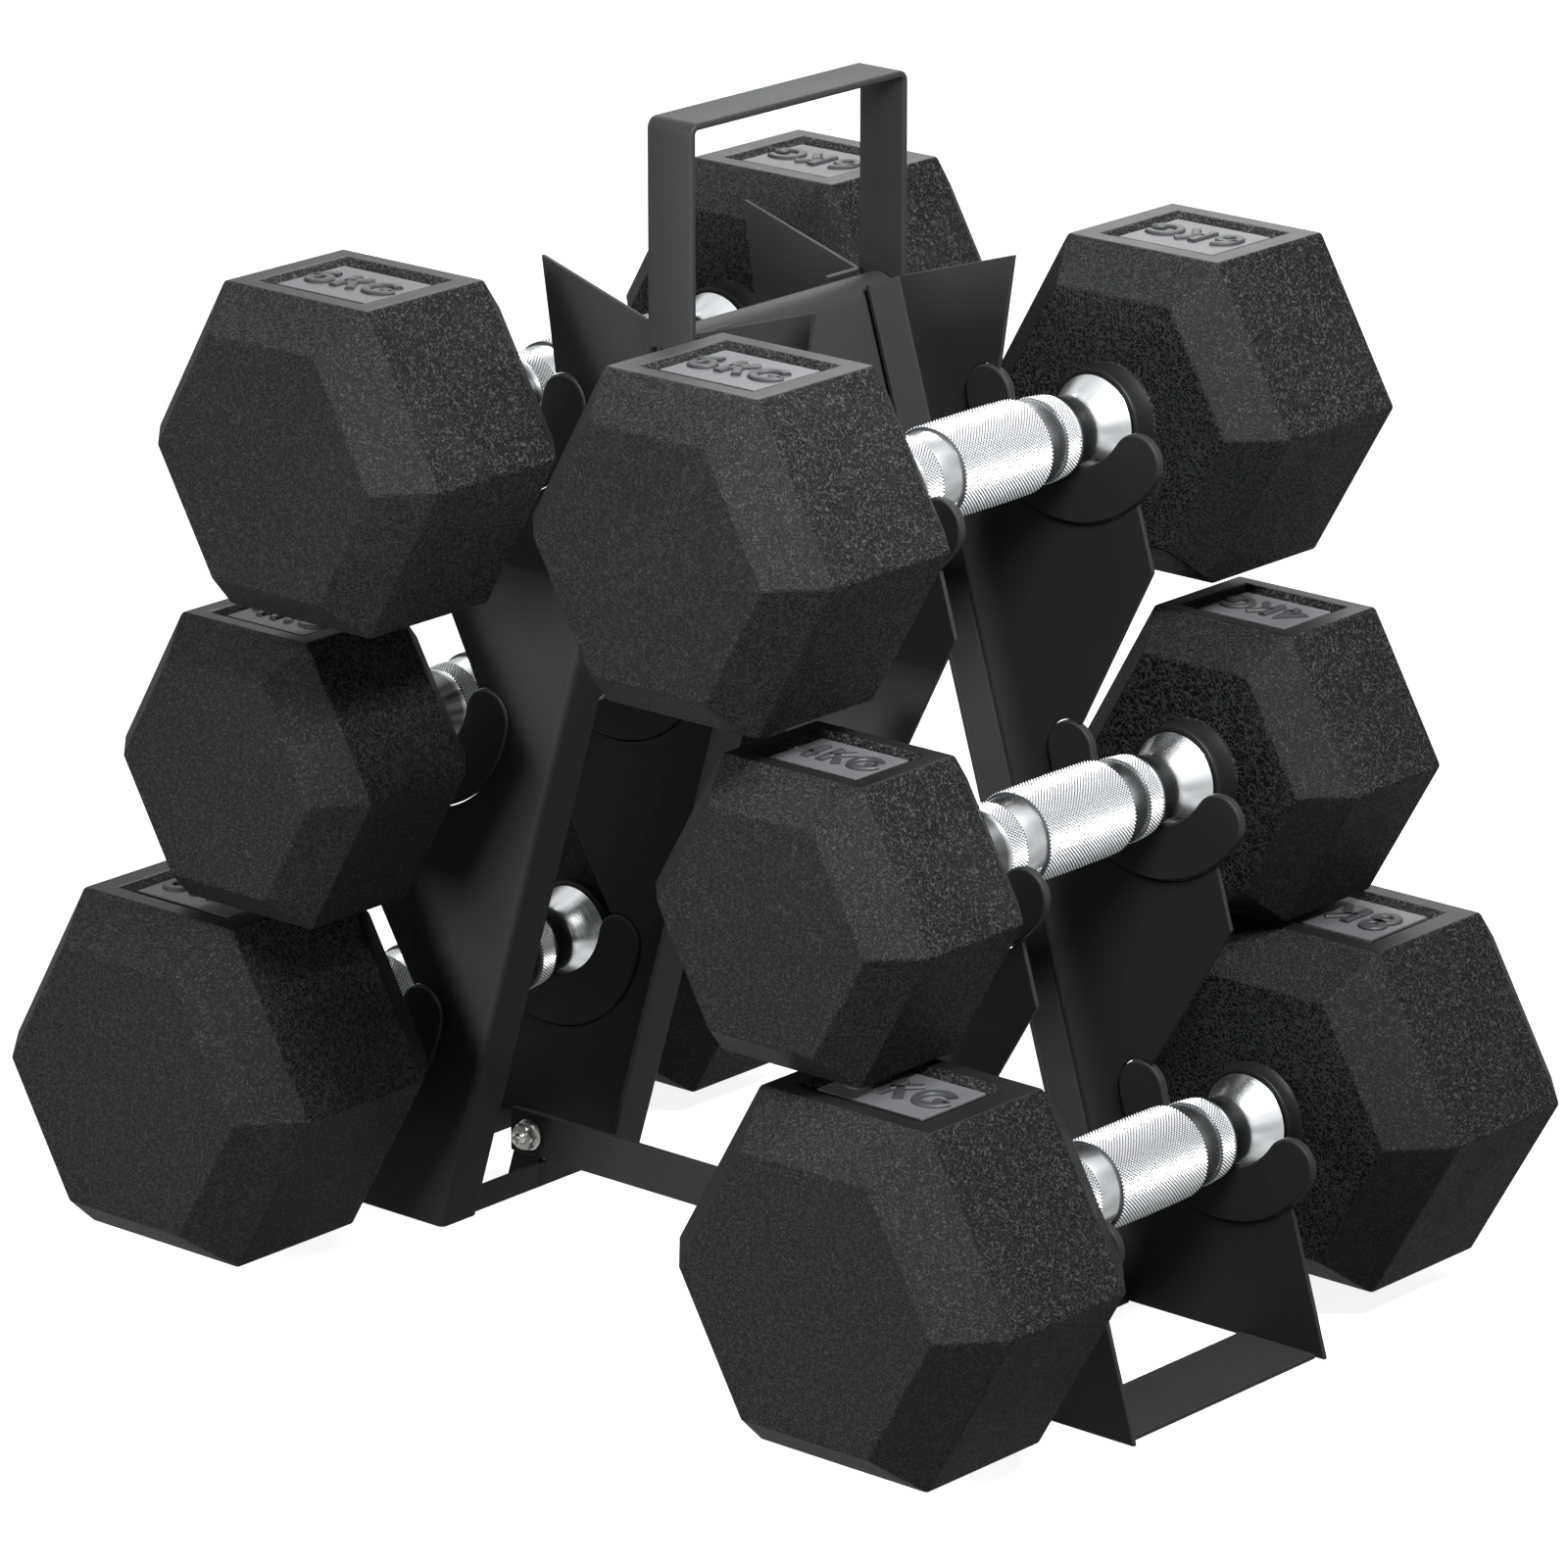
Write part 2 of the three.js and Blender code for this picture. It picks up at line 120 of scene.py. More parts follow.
class Graph:
    """The node tree of a material or a world."""

    def __init__(self, owner: bpy.types.Material | bpy.types.World) -> None:
        """Opens a node tree.

        Args:
            owner: the material or world that holds it.
        """
        owner.use_nodes = True
        self.owner = owner
        self.tree = owner.node_tree

    @classmethod
    def material(cls, name: str) -> "Graph":
        """Starts a new material of that name."""
        return cls(bpy.data.materials.new(name))

    def node(self, kind: str, settings: dict, inputs: dict, output: int | str = 0) -> Value:
        """Adds a node, makes its settings, then fills its sockets.

        Args:
            kind: the node's type.
            settings: attributes that are set first.
            inputs: socket name or number against a Value, a number or a tuple.
            output: which of the node's outputs to hand back.

        Returns:
            The chosen output.
        """
        made = self.tree.nodes.new(kind)
        for key, setting in settings.items():
            setattr(made, key, setting)
        for key, value in inputs.items():
            if isinstance(value, Value):
                self.tree.links.new(value.socket, made.inputs[key])
            else:
                made.inputs[key].default_value = value
        return Value(self, made.outputs[output])

    def place(self, scale: tuple[float, float, float] = (1.0, 1.0, 1.0)) -> Value:
        """Object coordinates, stretched by a factor along each axis."""
        here = self.node("ShaderNodeTexCoord", {}, {}, "Object")
        return self.node("ShaderNodeVectorMath", {"operation": "MULTIPLY"}, {0: here, 1: scale})

    def noise(self, at: Value, scale: float, detail: float = 2.0, bend: float = 0.0) -> Value:
        """Smooth noise between 0 and 1.

        Args:
            at: the coordinates.
            scale: cells in a metre.
            detail: octaves.
            bend: how far the noise pulls its own cells out of shape.

        Returns:
            The noise's value.
        """
        inputs = {"Vector": at, "Scale": scale, "Detail": detail, "Distortion": bend}
        return self.node("ShaderNodeTexNoise", {}, inputs, 0)

    def between(self, factor: Value, low: tuple, high: tuple) -> Value:
        """A colour mixed between two others.

        Args:
            factor: 0 for the low colour, 1 for the high one.
            low: red, green and blue.
            high: red, green and blue.

        Returns:
            The mixed colour.
        """
        settings = {"data_type": "RGBA"}
        inputs = {0: factor, 6: (*low, 1.0), 7: (*high, 1.0)}
        return self.node("ShaderNodeMix", settings, inputs, 2)

    def bump(self, height: Value, depth: float, strength: float = 1.0) -> Value:
        """A normal tilted by a height field.

        Args:
            height: the field, between 0 and 1.
            depth: height of 1 in millimetres.
            strength: how much of the tilt is kept.

        Returns:
            The bumped normal.
        """
        inputs = {"Height": height, "Distance": depth * MM, "Strength": strength}
        return self.node("ShaderNodeBump", {}, inputs)

    def close(self, linked: dict[str, Value], fixed: dict[str, float | tuple]) -> bpy.types.Material:
        """Feeds the material's Principled shader.

        Args:
            linked: socket name against what varies over the surface.
            fixed: socket name against a constant.

        Returns:
            The finished material.
        """
        shader = self.tree.nodes["Principled BSDF"]
        for key, value in linked.items():
            self.tree.links.new(value.socket, shader.inputs[key])
        for key, value in fixed.items():
            shader.inputs[key].default_value = value
        return self.owner


# ---------------------------------------------------------------------- finishes


@dataclass(frozen=True)
class PowderCoat:
    """Matt black powder coat with a faint orange peel and a little rubbed sheen."""

    dark: tuple = (0.0130, 0.0130, 0.0133)
    pale: tuple = (0.0180, 0.0180, 0.0184)
    peel: float = 1100.0
    name: str = "powder_coat"

    @functools.cache
    def material(self) -> bpy.types.Material:
        """A faint orange peel over a nearly even black.

        Returns:
            The finished material, made on the first call only.
        """
        g = Graph.material(self.name)
        at = g.place()
        cloud = g.noise(at, 34.0, 3.0)
        peel = g.noise(at, self.peel, 2.0)
        speck = g.noise(at, self.peel * 2.6, 1.0)
        colour = g.between(cloud * 0.6 + speck * 0.4, self.dark, self.pale)
        rough = 0.5 + cloud * 0.12 + peel * 0.08
        normal = g.bump(peel * 0.7 + speck * 0.3, 0.02, 0.35)
        linked = {"Base Color": colour, "Roughness": rough, "Normal": normal}
        return g.close(linked, {"Specular IOR Level": 0.16})


@dataclass(frozen=True)
class PebbledRubber:
    """Black rubber moulded with a worm-like grain, painted darker in its furrows and paler on its
    ridges as shade and light.
    """

    name: str = "rubber_grain"
    grain: float = 850.0
    depth: float = 1.0
    # dark is the painted shade in the furrows, pale the painted light on the ridges
    dark: tuple = (0.0020, 0.0020, 0.0020)
    pale: tuple = (0.0420, 0.0420, 0.0426)
    rough: float = 0.58

    @functools.cache
    def material(self) -> bpy.types.Material:
        """Ridges stand where the noise crosses its middle value, so they run on like worms; the
        colour follows the same heights as painted shade and light.

        Returns:
            The finished material, made on the first call only.
        """
        g = Graph.material(self.name)
        at = g.place()
        cell = g.noise(at, self.grain, 1.5, 0.6)
        worm = 1.0 - abs(cell * 2.0 - 1.0).rise(0.04, 0.16)
        fine = g.noise(at, self.grain * 3.1, 2.0)
        dust = g.noise(at, 26.0, 4.0).rise(0.42, 0.75)
        height = worm * 0.8 + fine * 0.2
        # painted shade and light: furrows darker, ridges paler, plus a little dust
        colour = g.between(worm * 0.75 + fine * 0.25 + dust * 0.1 - 0.1, self.dark, self.pale)
        rough = self.rough + dust * 0.12 - worm * 0.1
        linked = {
            "Base Color": colour,
            "Roughness": rough,
            "Normal": g.bump(height, self.depth, 1.0),
        }
        return g.close(linked, {"Specular IOR Level": 0.08})


@dataclass(frozen=True)
class SmoothRubber:
    """The plain moulded collar round a handle."""

    name: str = "rubber_smooth"

    @functools.cache
    def material(self) -> bpy.types.Material:
        """Cloudy black with a very fine tooth.

        Returns:
            The finished material, made on the first call only.
        """
        g = Graph.material(self.name)
        at = g.place()
        cloud = g.noise(at, 90.0, 3.0)
        fine = g.noise(at, 2400.0, 1.0)
        linked = {
            "Base Color": g.between(cloud, (0.004, 0.004, 0.004), (0.008, 0.008, 0.008)),
            "Roughness": 0.42 + cloud * 0.15,
            "Normal": g.bump(fine, 0.012, 0.4),
        }
        return g.close(linked, {"Specular IOR Level": 0.2})


@dataclass(frozen=True)
class Chrome:
    """Bright plate with the fine circular lines that polishing leaves; painted shade darkens it in
    the handle's groove and neck cone.
    """

    name: str = "chrome"
    shine: float = 0.22
    # colour of the painted shade in the groove and on the neck cone
    groove_shade: tuple = (0.03, 0.03, 0.031)
    tone: tuple = (0.90, 0.905, 0.915)

    @functools.cache
    def material(self) -> bpy.types.Material:
        """Noise squeezed along the handle's axis gives rings of very fine lines, and the mesh's
        painted light level darkens the groove and neck cone with painted shade.

        Returns:
            The finished material, made on the first call only.
        """
        g = Graph.material(self.name)
        lines = g.noise(g.place((20.0, 2600.0, 20.0)), 1.0, 2.0)
        cloud = g.noise(g.place(), 70.0, 3.0)
        # painted shade: a low level here pulls the colour towards the painted groove shade
        groove_lit = g.node("ShaderNodeAttribute", {"attribute_name": "painted_lit"}, {}, "Fac")
        linked = {
            "Base Color": g.between(groove_lit + cloud * 0.06 - 0.03, self.groove_shade, self.tone),
            "Roughness": self.shine + lines * 0.05 + cloud * 0.04,
            "Normal": g.bump(lines, 0.004, 0.25),
        }
        return g.close(linked, {"Metallic": 1.0})


@dataclass(frozen=True)
class Knurl:
    """Chromed knurling: bright points over valleys darkened by painted shade."""

    name: str = "chrome_knurl"
    # colour of the painted shade in the valleys
    valley: tuple = (0.1, 0.1, 0.103)
    crest: tuple = (0.93, 0.935, 0.945)

    @functools.cache
    def material(self) -> bpy.types.Material:
        """Mixes by the mesh's own measure of how proud each point stands, painting shade into the low
        points.

        Returns:
            The finished material, made on the first call only.
        """
        g = Graph.material(self.name)
        proud = g.node("ShaderNodeAttribute", {"attribute_name": "painted_lit"}, {}, "Fac")
        cloud = g.noise(g.place(), 150.0, 2.0)
        linked = {
            "Base Color": g.between(proud.rise(0.1, 0.7), self.valley, self.crest),
            "Roughness": 0.34 - proud * 0.14 + cloud * 0.06,
        }
        return g.close(linked, {"Metallic": 0.55})


@dataclass(frozen=True)
class Zinc:
    """Bright zinc plate with its faint warm and cool patches."""

    name: str = "zinc"

    @functools.cache
    def material(self) -> bpy.types.Material:
        """Dull crystals of two greys.

        Returns:
            The finished material, made on the first call only.
        """
        g = Graph.material(self.name)
        cloud = g.noise(g.place(), 260.0, 3.0)
        fine = g.noise(g.place(), 1800.0, 2.0)
        linked = {
            "Base Color": g.between(cloud, (0.55, 0.56, 0.58), (0.70, 0.69, 0.66)),
            "Roughness": 0.2 + cloud * 0.16,
            "Normal": g.bump(fine, 0.01, 0.4),
        }
        return g.close(linked, {"Metallic": 1.0})


@dataclass(frozen=True)
class Inlay:
    """Satin grey plate under the raised characters."""

    name: str = "inlay"
    dark: tuple = (0.060, 0.060, 0.062)
    pale: tuple = (0.076, 0.076, 0.078)

    @functools.cache
    def material(self) -> bpy.types.Material:
        """A pale grey with a little mottling.

        Returns:
            The finished material, made on the first call only.
        """
        g = Graph.material(self.name)
        cloud = g.noise(g.place(), 120.0, 3.0)
        fine = g.noise(g.place(), 2600.0, 2.0)
        linked = {
            "Base Color": g.between(cloud * 0.6 + fine * 0.4, self.dark, self.pale),
            "Roughness": 0.5 + cloud * 0.14,
            "Normal": g.bump(fine, 0.015, 0.4),
        }
        return g.close(linked, {"Specular IOR Level": 0.35})


class Finish(Enum):
    """The finishes by the names that a maker gives them."""

    POWDER_COAT = PowderCoat()
    RUBBER_GRAIN = PebbledRubber()
    RUBBER_FINE = PebbledRubber("rubber_fine_grain", 1250.0, 0.4, (0.0050, 0.0050, 0.0051),
                                (0.0340, 0.0340, 0.0345), 0.6)
    RUBBER_SMOOTH = SmoothRubber()
    CHROME = Chrome()
    KNURL = Knurl()
    ZINC = Zinc()
    INLAY = Inlay()
    # painted shade: the characters are the plate's grey, coloured darker here to paint the shade
    # along their sides
    CHARACTER = Inlay("character", (0.016, 0.016, 0.017), (0.024, 0.024, 0.025))


# ---------------------------------------------------------------- mesh building


def arc(centre: tuple[float, float], radius: float, start: float, end: float,
        step: float = 4.0) -> np.ndarray:
    """Points on a circle: centre plus radius times (cos a, sin a), a going evenly from start to end.

    Args:
        centre: the circle's centre.
        radius: its radius.
        start: first angle in degrees.
        end: last angle in degrees.
        step: largest turn between two points in degrees.

    Returns:
        An array of 2-D points.
    """
    count = max(3, math.ceil(abs(end - start) / step)) + 1
    a = np.radians(np.linspace(start, end, count))
    return np.asarray(centre) + radius * np.stack([np.cos(a), np.sin(a)], 1)


class Skin:
    """Gathers patches of surface into one closed mesh."""

    def __init__(self) -> None:
        """Starts with no patches."""
        self.points: list[np.ndarray] = []
        # per point: how fully it is painted as lit; lower values paint shade
        self.painted_lit: list[np.ndarray] = []
        self.faces: list[list[int]] = []
        self.dress: list[int] = []
        self.count = 0

    def add(self, points: np.ndarray, faces: Iterable[Sequence[int]], finish: int = 0,
            painted_lit: np.ndarray | None = None) -> int:
        """Adds points and the faces on them.

        Args:
            points: n by 3, in millimetres.
            faces: rows of numbers that count from the first of these points.
            finish: which of the piece's finishes they take.
            painted_lit: how fully each point is painted as lit, from 0 (painted shade) to 1.

        Returns:
            The number of the first of these points in the whole mesh.
        """
        first = self.count
        rows = [[int(i) + first for i in face] for face in faces]
        self.points.append(np.asarray(points, float).reshape(-1, 3))
        self.painted_lit.append(np.ones(len(self.points[-1])) if painted_lit is None else painted_lit.ravel())
        self.count += len(self.points[-1])
        self.faces += rows
        self.dress += [finish] * len(rows)
        return first

    def grid(self, points: np.ndarray, close_u: bool = False, close_v: bool = False,
             finish: int = 0, painted_lit: np.ndarray | None = None) -> int:
        """Adds a grid of quads through an array of points in rows (u) and columns (v).

        Args:
            points: rows by columns by 3, in millimetres.
            close_u: join the last row to the first.
            close_v: join the last column to the first.
            finish: which of the piece's finishes it wears.
            painted_lit: how fully each point is painted as lit, from 0 (painted shade) to 1.

        Returns:
            The number of the grid's first point.
        """
        rows, columns = points.shape[:2]
        at = np.arange(rows * columns).reshape(rows, columns)
        at = np.vstack([at, at[:1]]) if close_u else at
        at = np.hstack([at, at[:, :1]]) if close_v else at
        quads = np.stack([at[:-1, :-1], at[:-1, 1:], at[1:, 1:], at[1:, :-1]], -1)
        return self.add(points, quads.reshape(-1, 4), finish, painted_lit)

    def cap(self, first: int, rows: int, columns: int) -> None:
        """Closes both ends of a grid that is a tube.

        Args:
            first: number of its first point.
            rows: how many rings it has.
            columns: how many points each ring has.
        """
        last = first + (rows - 1) * columns
        self.faces += [list(range(start, start + columns)) for start in (first, last)]
        self.dress += [0, 0]

    def prism(self, outline: np.ndarray, low: np.ndarray, high: np.ndarray, finish: int = 0) -> None:
        """Adds an outline carried straight from one offset to another, with both ends filled.

        Args:
            outline: n by 3 ring of points.
            low: offset of the first end.
            high: offset of the last end.
            finish: which of the piece's finishes it wears.
        """
        count = len(outline)
        first = self.grid(np.stack([outline + low, outline + high]), close_v=True, finish=finish)
        self.faces += [list(range(first, first + count)),
                       list(range(first + 2 * count - 1, first + count - 1, -1))]
        self.dress += [finish] * 2

    def build(self, name: str, finishes: Sequence[Finish], crease: float = 35.0) -> bpy.types.Object:
        """Makes the object, with seams merged and faces turned outward.

        Args:
            name: the piece's name.
            finishes: the finishes, in the order that the patches number them.
            crease: edges that fold more than this many degrees stay sharp.

        Returns:
            The new object, linked into the scene.
        """
        mesh = bpy.data.meshes.new(name)
        points = np.concatenate(self.points) * MM
        mesh.from_pydata(points.tolist(), [], self.faces)
        mesh.polygons.foreach_set("material_index", np.array(self.dress, np.int32))
        # painted shade: a per-point level, 1 lit and lower painted darker, read by the chrome and
        # knurl finishes
        proud = mesh.attributes.new("painted_lit", "FLOAT", "POINT")
        proud.data.foreach_set("value", np.concatenate(self.painted_lit).astype(np.float32))
        for finish in finishes:
            mesh.materials.append(finish.value.material())
        work = bmesh.new()
        work.from_mesh(mesh)
        bmesh.ops.remove_doubles(work, verts=work.verts, dist=1e-6)
        bmesh.ops.recalc_face_normals(work, faces=work.faces)
        work.to_mesh(mesh)
        work.free()
        mesh.shade_smooth()
        mesh.set_sharp_from_angle(angle=math.radians(crease))
        made = bpy.data.objects.new(name, mesh)
        bpy.context.scene.collection.objects.link(made)
        return made


def spin(profile: np.ndarray, segments: int, start: float = 0.0) -> np.ndarray:
    """A profile turned about the Y axis: (r sin a, y, r cos a) for each (y, r) and each angle a.

    Args:
        profile: rows of (y, r).
        segments: how many steps make the full turn.
        start: the first angle in degrees.

    Returns:
        Rows by segments by 3; the turn is closed by the grid.
    """
    a = np.radians(start) + np.linspace(0, 2 * math.pi, segments, endpoint=False)
    y, r = profile[:, :1], profile[:, 1:]
    return np.stack([r * np.sin(a), np.broadcast_to(y, (len(profile), segments)), r * np.cos(a)], -1)


def round_edges(piece: bpy.types.Object, width: float, segments: int = 2, fold: float = 40.0) -> None:
    """Rounds every edge that folds more than a given angle.

    Args:
        piece: the object.
        width: how far the round reaches from the edge, in millimetres.
        segments: facets of the round.
        fold: the angle in degrees.
    """
    bevel = piece.modifiers.new("round", "BEVEL")
    bevel.width = width * MM
    bevel.segments = segments
    bevel.limit_method = "ANGLE"
    bevel.angle_limit = math.radians(fold)
    bevel.harden_normals = True


def thicken(piece: bpy.types.Object, thickness: float) -> None:
    """Gives a sheet its thickness, half to each side.

    Args:
        piece: a surface at the middle of the sheet.
        thickness: in millimetres.
    """
    solidify = piece.modifiers.new("sheet", "SOLIDIFY")
    solidify.thickness = thickness * MM
    solidify.offset = 0.0
    solidify.use_even_offset = True


def settle(piece: bpy.types.Object, body: str, nodes: Sequence[str]) -> None:
    """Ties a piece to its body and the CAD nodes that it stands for.

    Args:
        piece: the finished object.
        body: the body that it moves with.
        nodes: CAD nodes that it replaces.
    """
    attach(piece, body)
    if nodes:
        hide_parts(*nodes)
    LOG.info("%s rides on %s, %d polygons", piece.name, body, len(piece.data.polygons))


# --------------------------------------------------------------------- the rack


class Side(Enum):
    """The two columns, by the sign of X."""

    LEFT = -1
    RIGHT = 1

    @property
    def word(self) -> str:
        """The side's name as the nodes spell it."""
        return self.name.lower()


class End(Enum):
    """The two frames, by the sign of Y."""

    NEAR = -1
    FAR = 1

    @property
    def word(self) -> str:
        """The end's name as the nodes spell it."""
        return self.name.lower()


TIER_NAMES = ("top", "middle", "bottom")


def tier_axis(tier: str) -> tuple[float, float]:
    """Where the right-hand handle of a tier runs.

    Args:
        tier: its name.

    Returns:
        Its (x, z) in millimetres.
    """
    low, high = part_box(f"handle_{tier}_right")
    middle = (low + high) / 2
    return middle.x / MM, middle.z / MM


@dataclass
class Cradles:
    """Twelve crescent plates: a band about a centre above the handle, with round ends."""

    centre: tuple[float, float] = (-0.4, 10.5)
    inner: float = 20.6
    outer: float = 36.3
    thick: float = 3.0
    prong_out: float = -32.6
    prong_in: float = -170.4
    soften: float = 0.75

    @property
    def middle(self) -> float:
        """Radius of the band's middle line."""
        return (self.inner + self.outer) / 2

    @property
    def tip(self) -> float:
        """Radius of a prong's round end."""
        return (self.outer - self.inner) / 2

    def hub(self, tier: str) -> tuple[float, float]:
        """The band's centre for a tier of the right-hand column."""
        x, z = tier_axis(tier)
        return x + self.centre[0], z + self.centre[1]

    def prong(self, tier: str, angle: float) -> np.ndarray:
        """The centre of a prong's round end, at that angle in degrees on the middle line."""
        a = math.radians(angle)
        return np.array(self.hub(tier)) + self.middle * np.array([math.cos(a), math.sin(a)])

    def outline(self, tier: str) -> np.ndarray:
        """Outer arc, round end, inner arc and round end, joined into one ring.

        Args:
            tier: which tier's cradle.

        Returns:
            Rows of (x, z).
        """
        hub = self.hub(tier)
        inside = self.prong(tier, self.prong_in)
        outside = self.prong(tier, self.prong_out)
        return np.concatenate([
            arc(hub, self.outer, self.prong_out, self.prong_in),
            arc(inside, self.tip, self.prong_in, self.prong_in - 180, 9)[1:],
            arc(hub, self.inner, self.prong_in, self.prong_out)[1:],
            arc(outside, self.tip, self.prong_out + 180, self.prong_out, 9)[1:-1],
        ])

    def build(self, plane: float) -> None:
        """Makes all twelve.

        Args:
            plane: distance of the panels' middle from the rack's middle.
        """
        for tier in TIER_NAMES:
            flat = self.outline(tier)
            for side in Side:
                for end in End:
                    ring = np.stack([side.value * flat[:, 0], 0 * flat[:, 0], flat[:, 1]], 1)
                    middle = end.value * plane
                    skin = Skin()
                    skin.prism(ring, np.array([0, middle - self.thick / 2, 0]),
                               np.array([0, middle + self.thick / 2, 0]))
                    node = f"cradle_{tier}_{end.word}_{side.word}"
                    piece = skin.build(f"{node}_plate", [Finish.POWDER_COAT])
                    round_edges(piece, self.soften, 3)
                    settle(piece, "rack", [node])


@dataclass
class LegPanels:
    """Four leaning sheets, each with a bite at every tier and a flange bent off its inner edge."""

    cradles: Cradles
    sheet: float = 1.5
    half: float = 42.5
    lean: float = 0.301
    apex_half: float = 6.5
    apex: float = 280.0
    strip: float = 71.5
    spike: tuple[float, float] = (48.8, 293.0)
    tooth_drop: float = 35.0
    flange: float = 14.0
    gap: float = 0.3
    taper_meets: float = 65.0
    foot: float = 0.2
    fold: float = 1.3
    fold_steps: int = 6
    soften: float = 0.35

    @property
    def plane(self) -> float:
        """Distance of a panel's middle surface from the rack's middle."""
        return self.half - self.sheet / 2

    def inner_x(self, z: float) -> float:
        """The inner edge's distance from the middle at a height."""
        return self.apex_half + self.lean * (self.apex - z)

    def top_slope(self) -> float:
        """Rise of the slanted top edge for each millimetre outward."""
        return (self.spike[1] - self.apex) / (self.spike[0] - self.apex_half)

    def column(self, offset: float) -> np.ndarray:
        """The line that runs up the leg at a square distance from its straight edge.

        Args:
            offset: that distance.

        Returns:
            Its bottom and its top, as (x, z).
        """
        level = offset * math.hypot(1, self.lean)
        bottom = self.inner_x(self.foot) + level
        slope = self.top_slope()
        rise = slope * level / (1 + slope * self.lean)
        top = self.apex + rise
        return np.array([[bottom, self.foot], [self.inner_x(top) + level, top]])

    def joint_angle(self, tier: str, radius: float) -> float:
        """Where the outer edge runs into a bite.

        Args:
            tier: which bite.
            radius: the bite's radius.

        Returns:
            The angle in degrees, about the bite's centre.
        """
        x, z = self.cradles.hub(tier)
        a = np.radians(np.linspace(self.cradles.prong_out, -90, 600))
        outside = x + radius * np.cos(a) - self.inner_x(z + radius * np.sin(a)) - self.strip
        return float(np.degrees(a[np.argmax(outside < 0)]))

    def teeth(self) -> np.ndarray:
        """The outer edge from the floor to the spike.

        Returns:
            Rows of (x, z): at each tier the bite, the notch round its prong and the tooth above.
        """
        runs = [np.array([[self.inner_x(self.foot) + self.strip, self.foot]])]
        tiers = list(reversed(TIER_NAMES))
        for tier, above in zip(tiers, tiers[1:] + [None]):
            c = self.cradles
            bite = c.outer + self.gap
            prong = c.prong(tier, c.prong_in)
            runs.append(arc(c.hub(tier), bite, self.joint_angle(tier, bite), c.prong_in))
            runs.append(arc(prong, c.tip + self.gap, c.prong_in, self.taper_meets - 360, 9)[1:])
            if above:
                z = tier_axis(above)[1] - self.tooth_drop
                runs.append(np.array([[self.inner_x(z) + self.strip, z]]))
        runs.append(np.array([self.spike]))
        return np.concatenate(runs)

    def panel(self, side: Side, end: End) -> Skin:
        """One sheet: the flange, the bend as a quarter circle, then the toothed web.

        Args:
            side: which column.
            end: which frame.

        Returns:
            The sheet's middle surface.
        """
        a = np.linspace(0, math.pi / 2, self.fold_steps)
        offsets = self.sheet / 2 + self.fold * (1 - np.cos(a))
        depths = self.plane - self.fold * (1 - np.sin(a))
        offsets = np.concatenate([offsets[:1], offsets])
        depths = np.concatenate([[self.half - self.flange], depths])
        lines = np.stack([self.column(o) for o in offsets])
        points = np.empty((len(offsets), 2, 3))
        points[:, :, 0] = side.value * lines[:, :, 0]
        points[:, :, 1] = end.value * depths[:, None]
        points[:, :, 2] = lines[:, :, 1]
        skin = Skin()
        skin.grid(points)
        ring = np.concatenate([lines[-1][:1], self.teeth(), lines[-1][1:]])
        web = np.stack([side.value * ring[:, 0], np.full(len(ring), end.value * self.plane),
                        ring[:, 1]], 1)
        skin.add(web, [range(len(web))])
        return skin

    def build(self) -> None:
        """Makes the four sheets."""
        for side in Side:
            for end in End:
                node = f"panel_{end.word}_{side.word}"
                piece = self.panel(side, end).build(f"{node}_sheet", [Finish.POWDER_COAT])
                thicken(piece, self.sheet)
                round_edges(piece, self.soften)
                settle(piece, "rack", [node])


@dataclass
class CarryStrap:
    """A flat bar with soft edges, bent to an inverted U."""

    width: float = 16.0
    thick: float = 2.0
    edge: float = 0.7
    bend: float = 2.2

    def section(self) -> np.ndarray:
        """The bar's cross-section, a rounded rectangle.

        Returns:
            Rows of (across, outward).
        """
        x = self.width / 2 - self.edge
        y = self.thick / 2 - self.edge
        corners = [((x, y), 0), ((-x, y), 90), ((-x, -y), 180), ((x, -y), 270)]
        return np.concatenate([arc(c, self.edge, a, a + 90, 22.5) for c, a in corners])

    def route(self) -> tuple[np.ndarray, np.ndarray]:
        """The bar's middle line: up, a quarter circle, across, a quarter circle and down.

        Returns:
            Its points as (y, z), and the outward direction at each.
        """
        low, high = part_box("carry_strap")
        reach = high.y / MM - self.thick / 2
        foot = low.z / MM
        top = high.z / MM - self.thick / 2
        r = self.bend
        near = arc((-reach + r, top - r), r, 180, 90, 9)
        far = arc((reach - r, top - r), r, 90, 0, 9)
        path = np.concatenate([[[-reach, foot]], near, far, [[reach, foot]]])
        out_near = arc((0, 0), 1, 180, 90, 9)
        out_far = arc((0, 0), 1, 90, 0, 9)
        out = np.concatenate([[[-1, 0]], out_near, out_far, [[1, 0]]])
        return path, out

    def build(self) -> None:
        """Carries the section along the route and fills both feet."""
        path, out = self.route()
        section = self.section()
        points = np.empty((len(path), len(section), 3))
        points[:, :, 0] = section[:, 0]
        points[:, :, 1:] = path[:, None] + out[:, None] * section[None, :, 1:]
        skin = Skin()
        first = skin.grid(points, close_v=True)
        skin.cap(first, len(path), len(section))
        piece = skin.build("carry_strap_bar", [Finish.POWDER_COAT])
        settle(piece, "rack", ["carry_strap"])


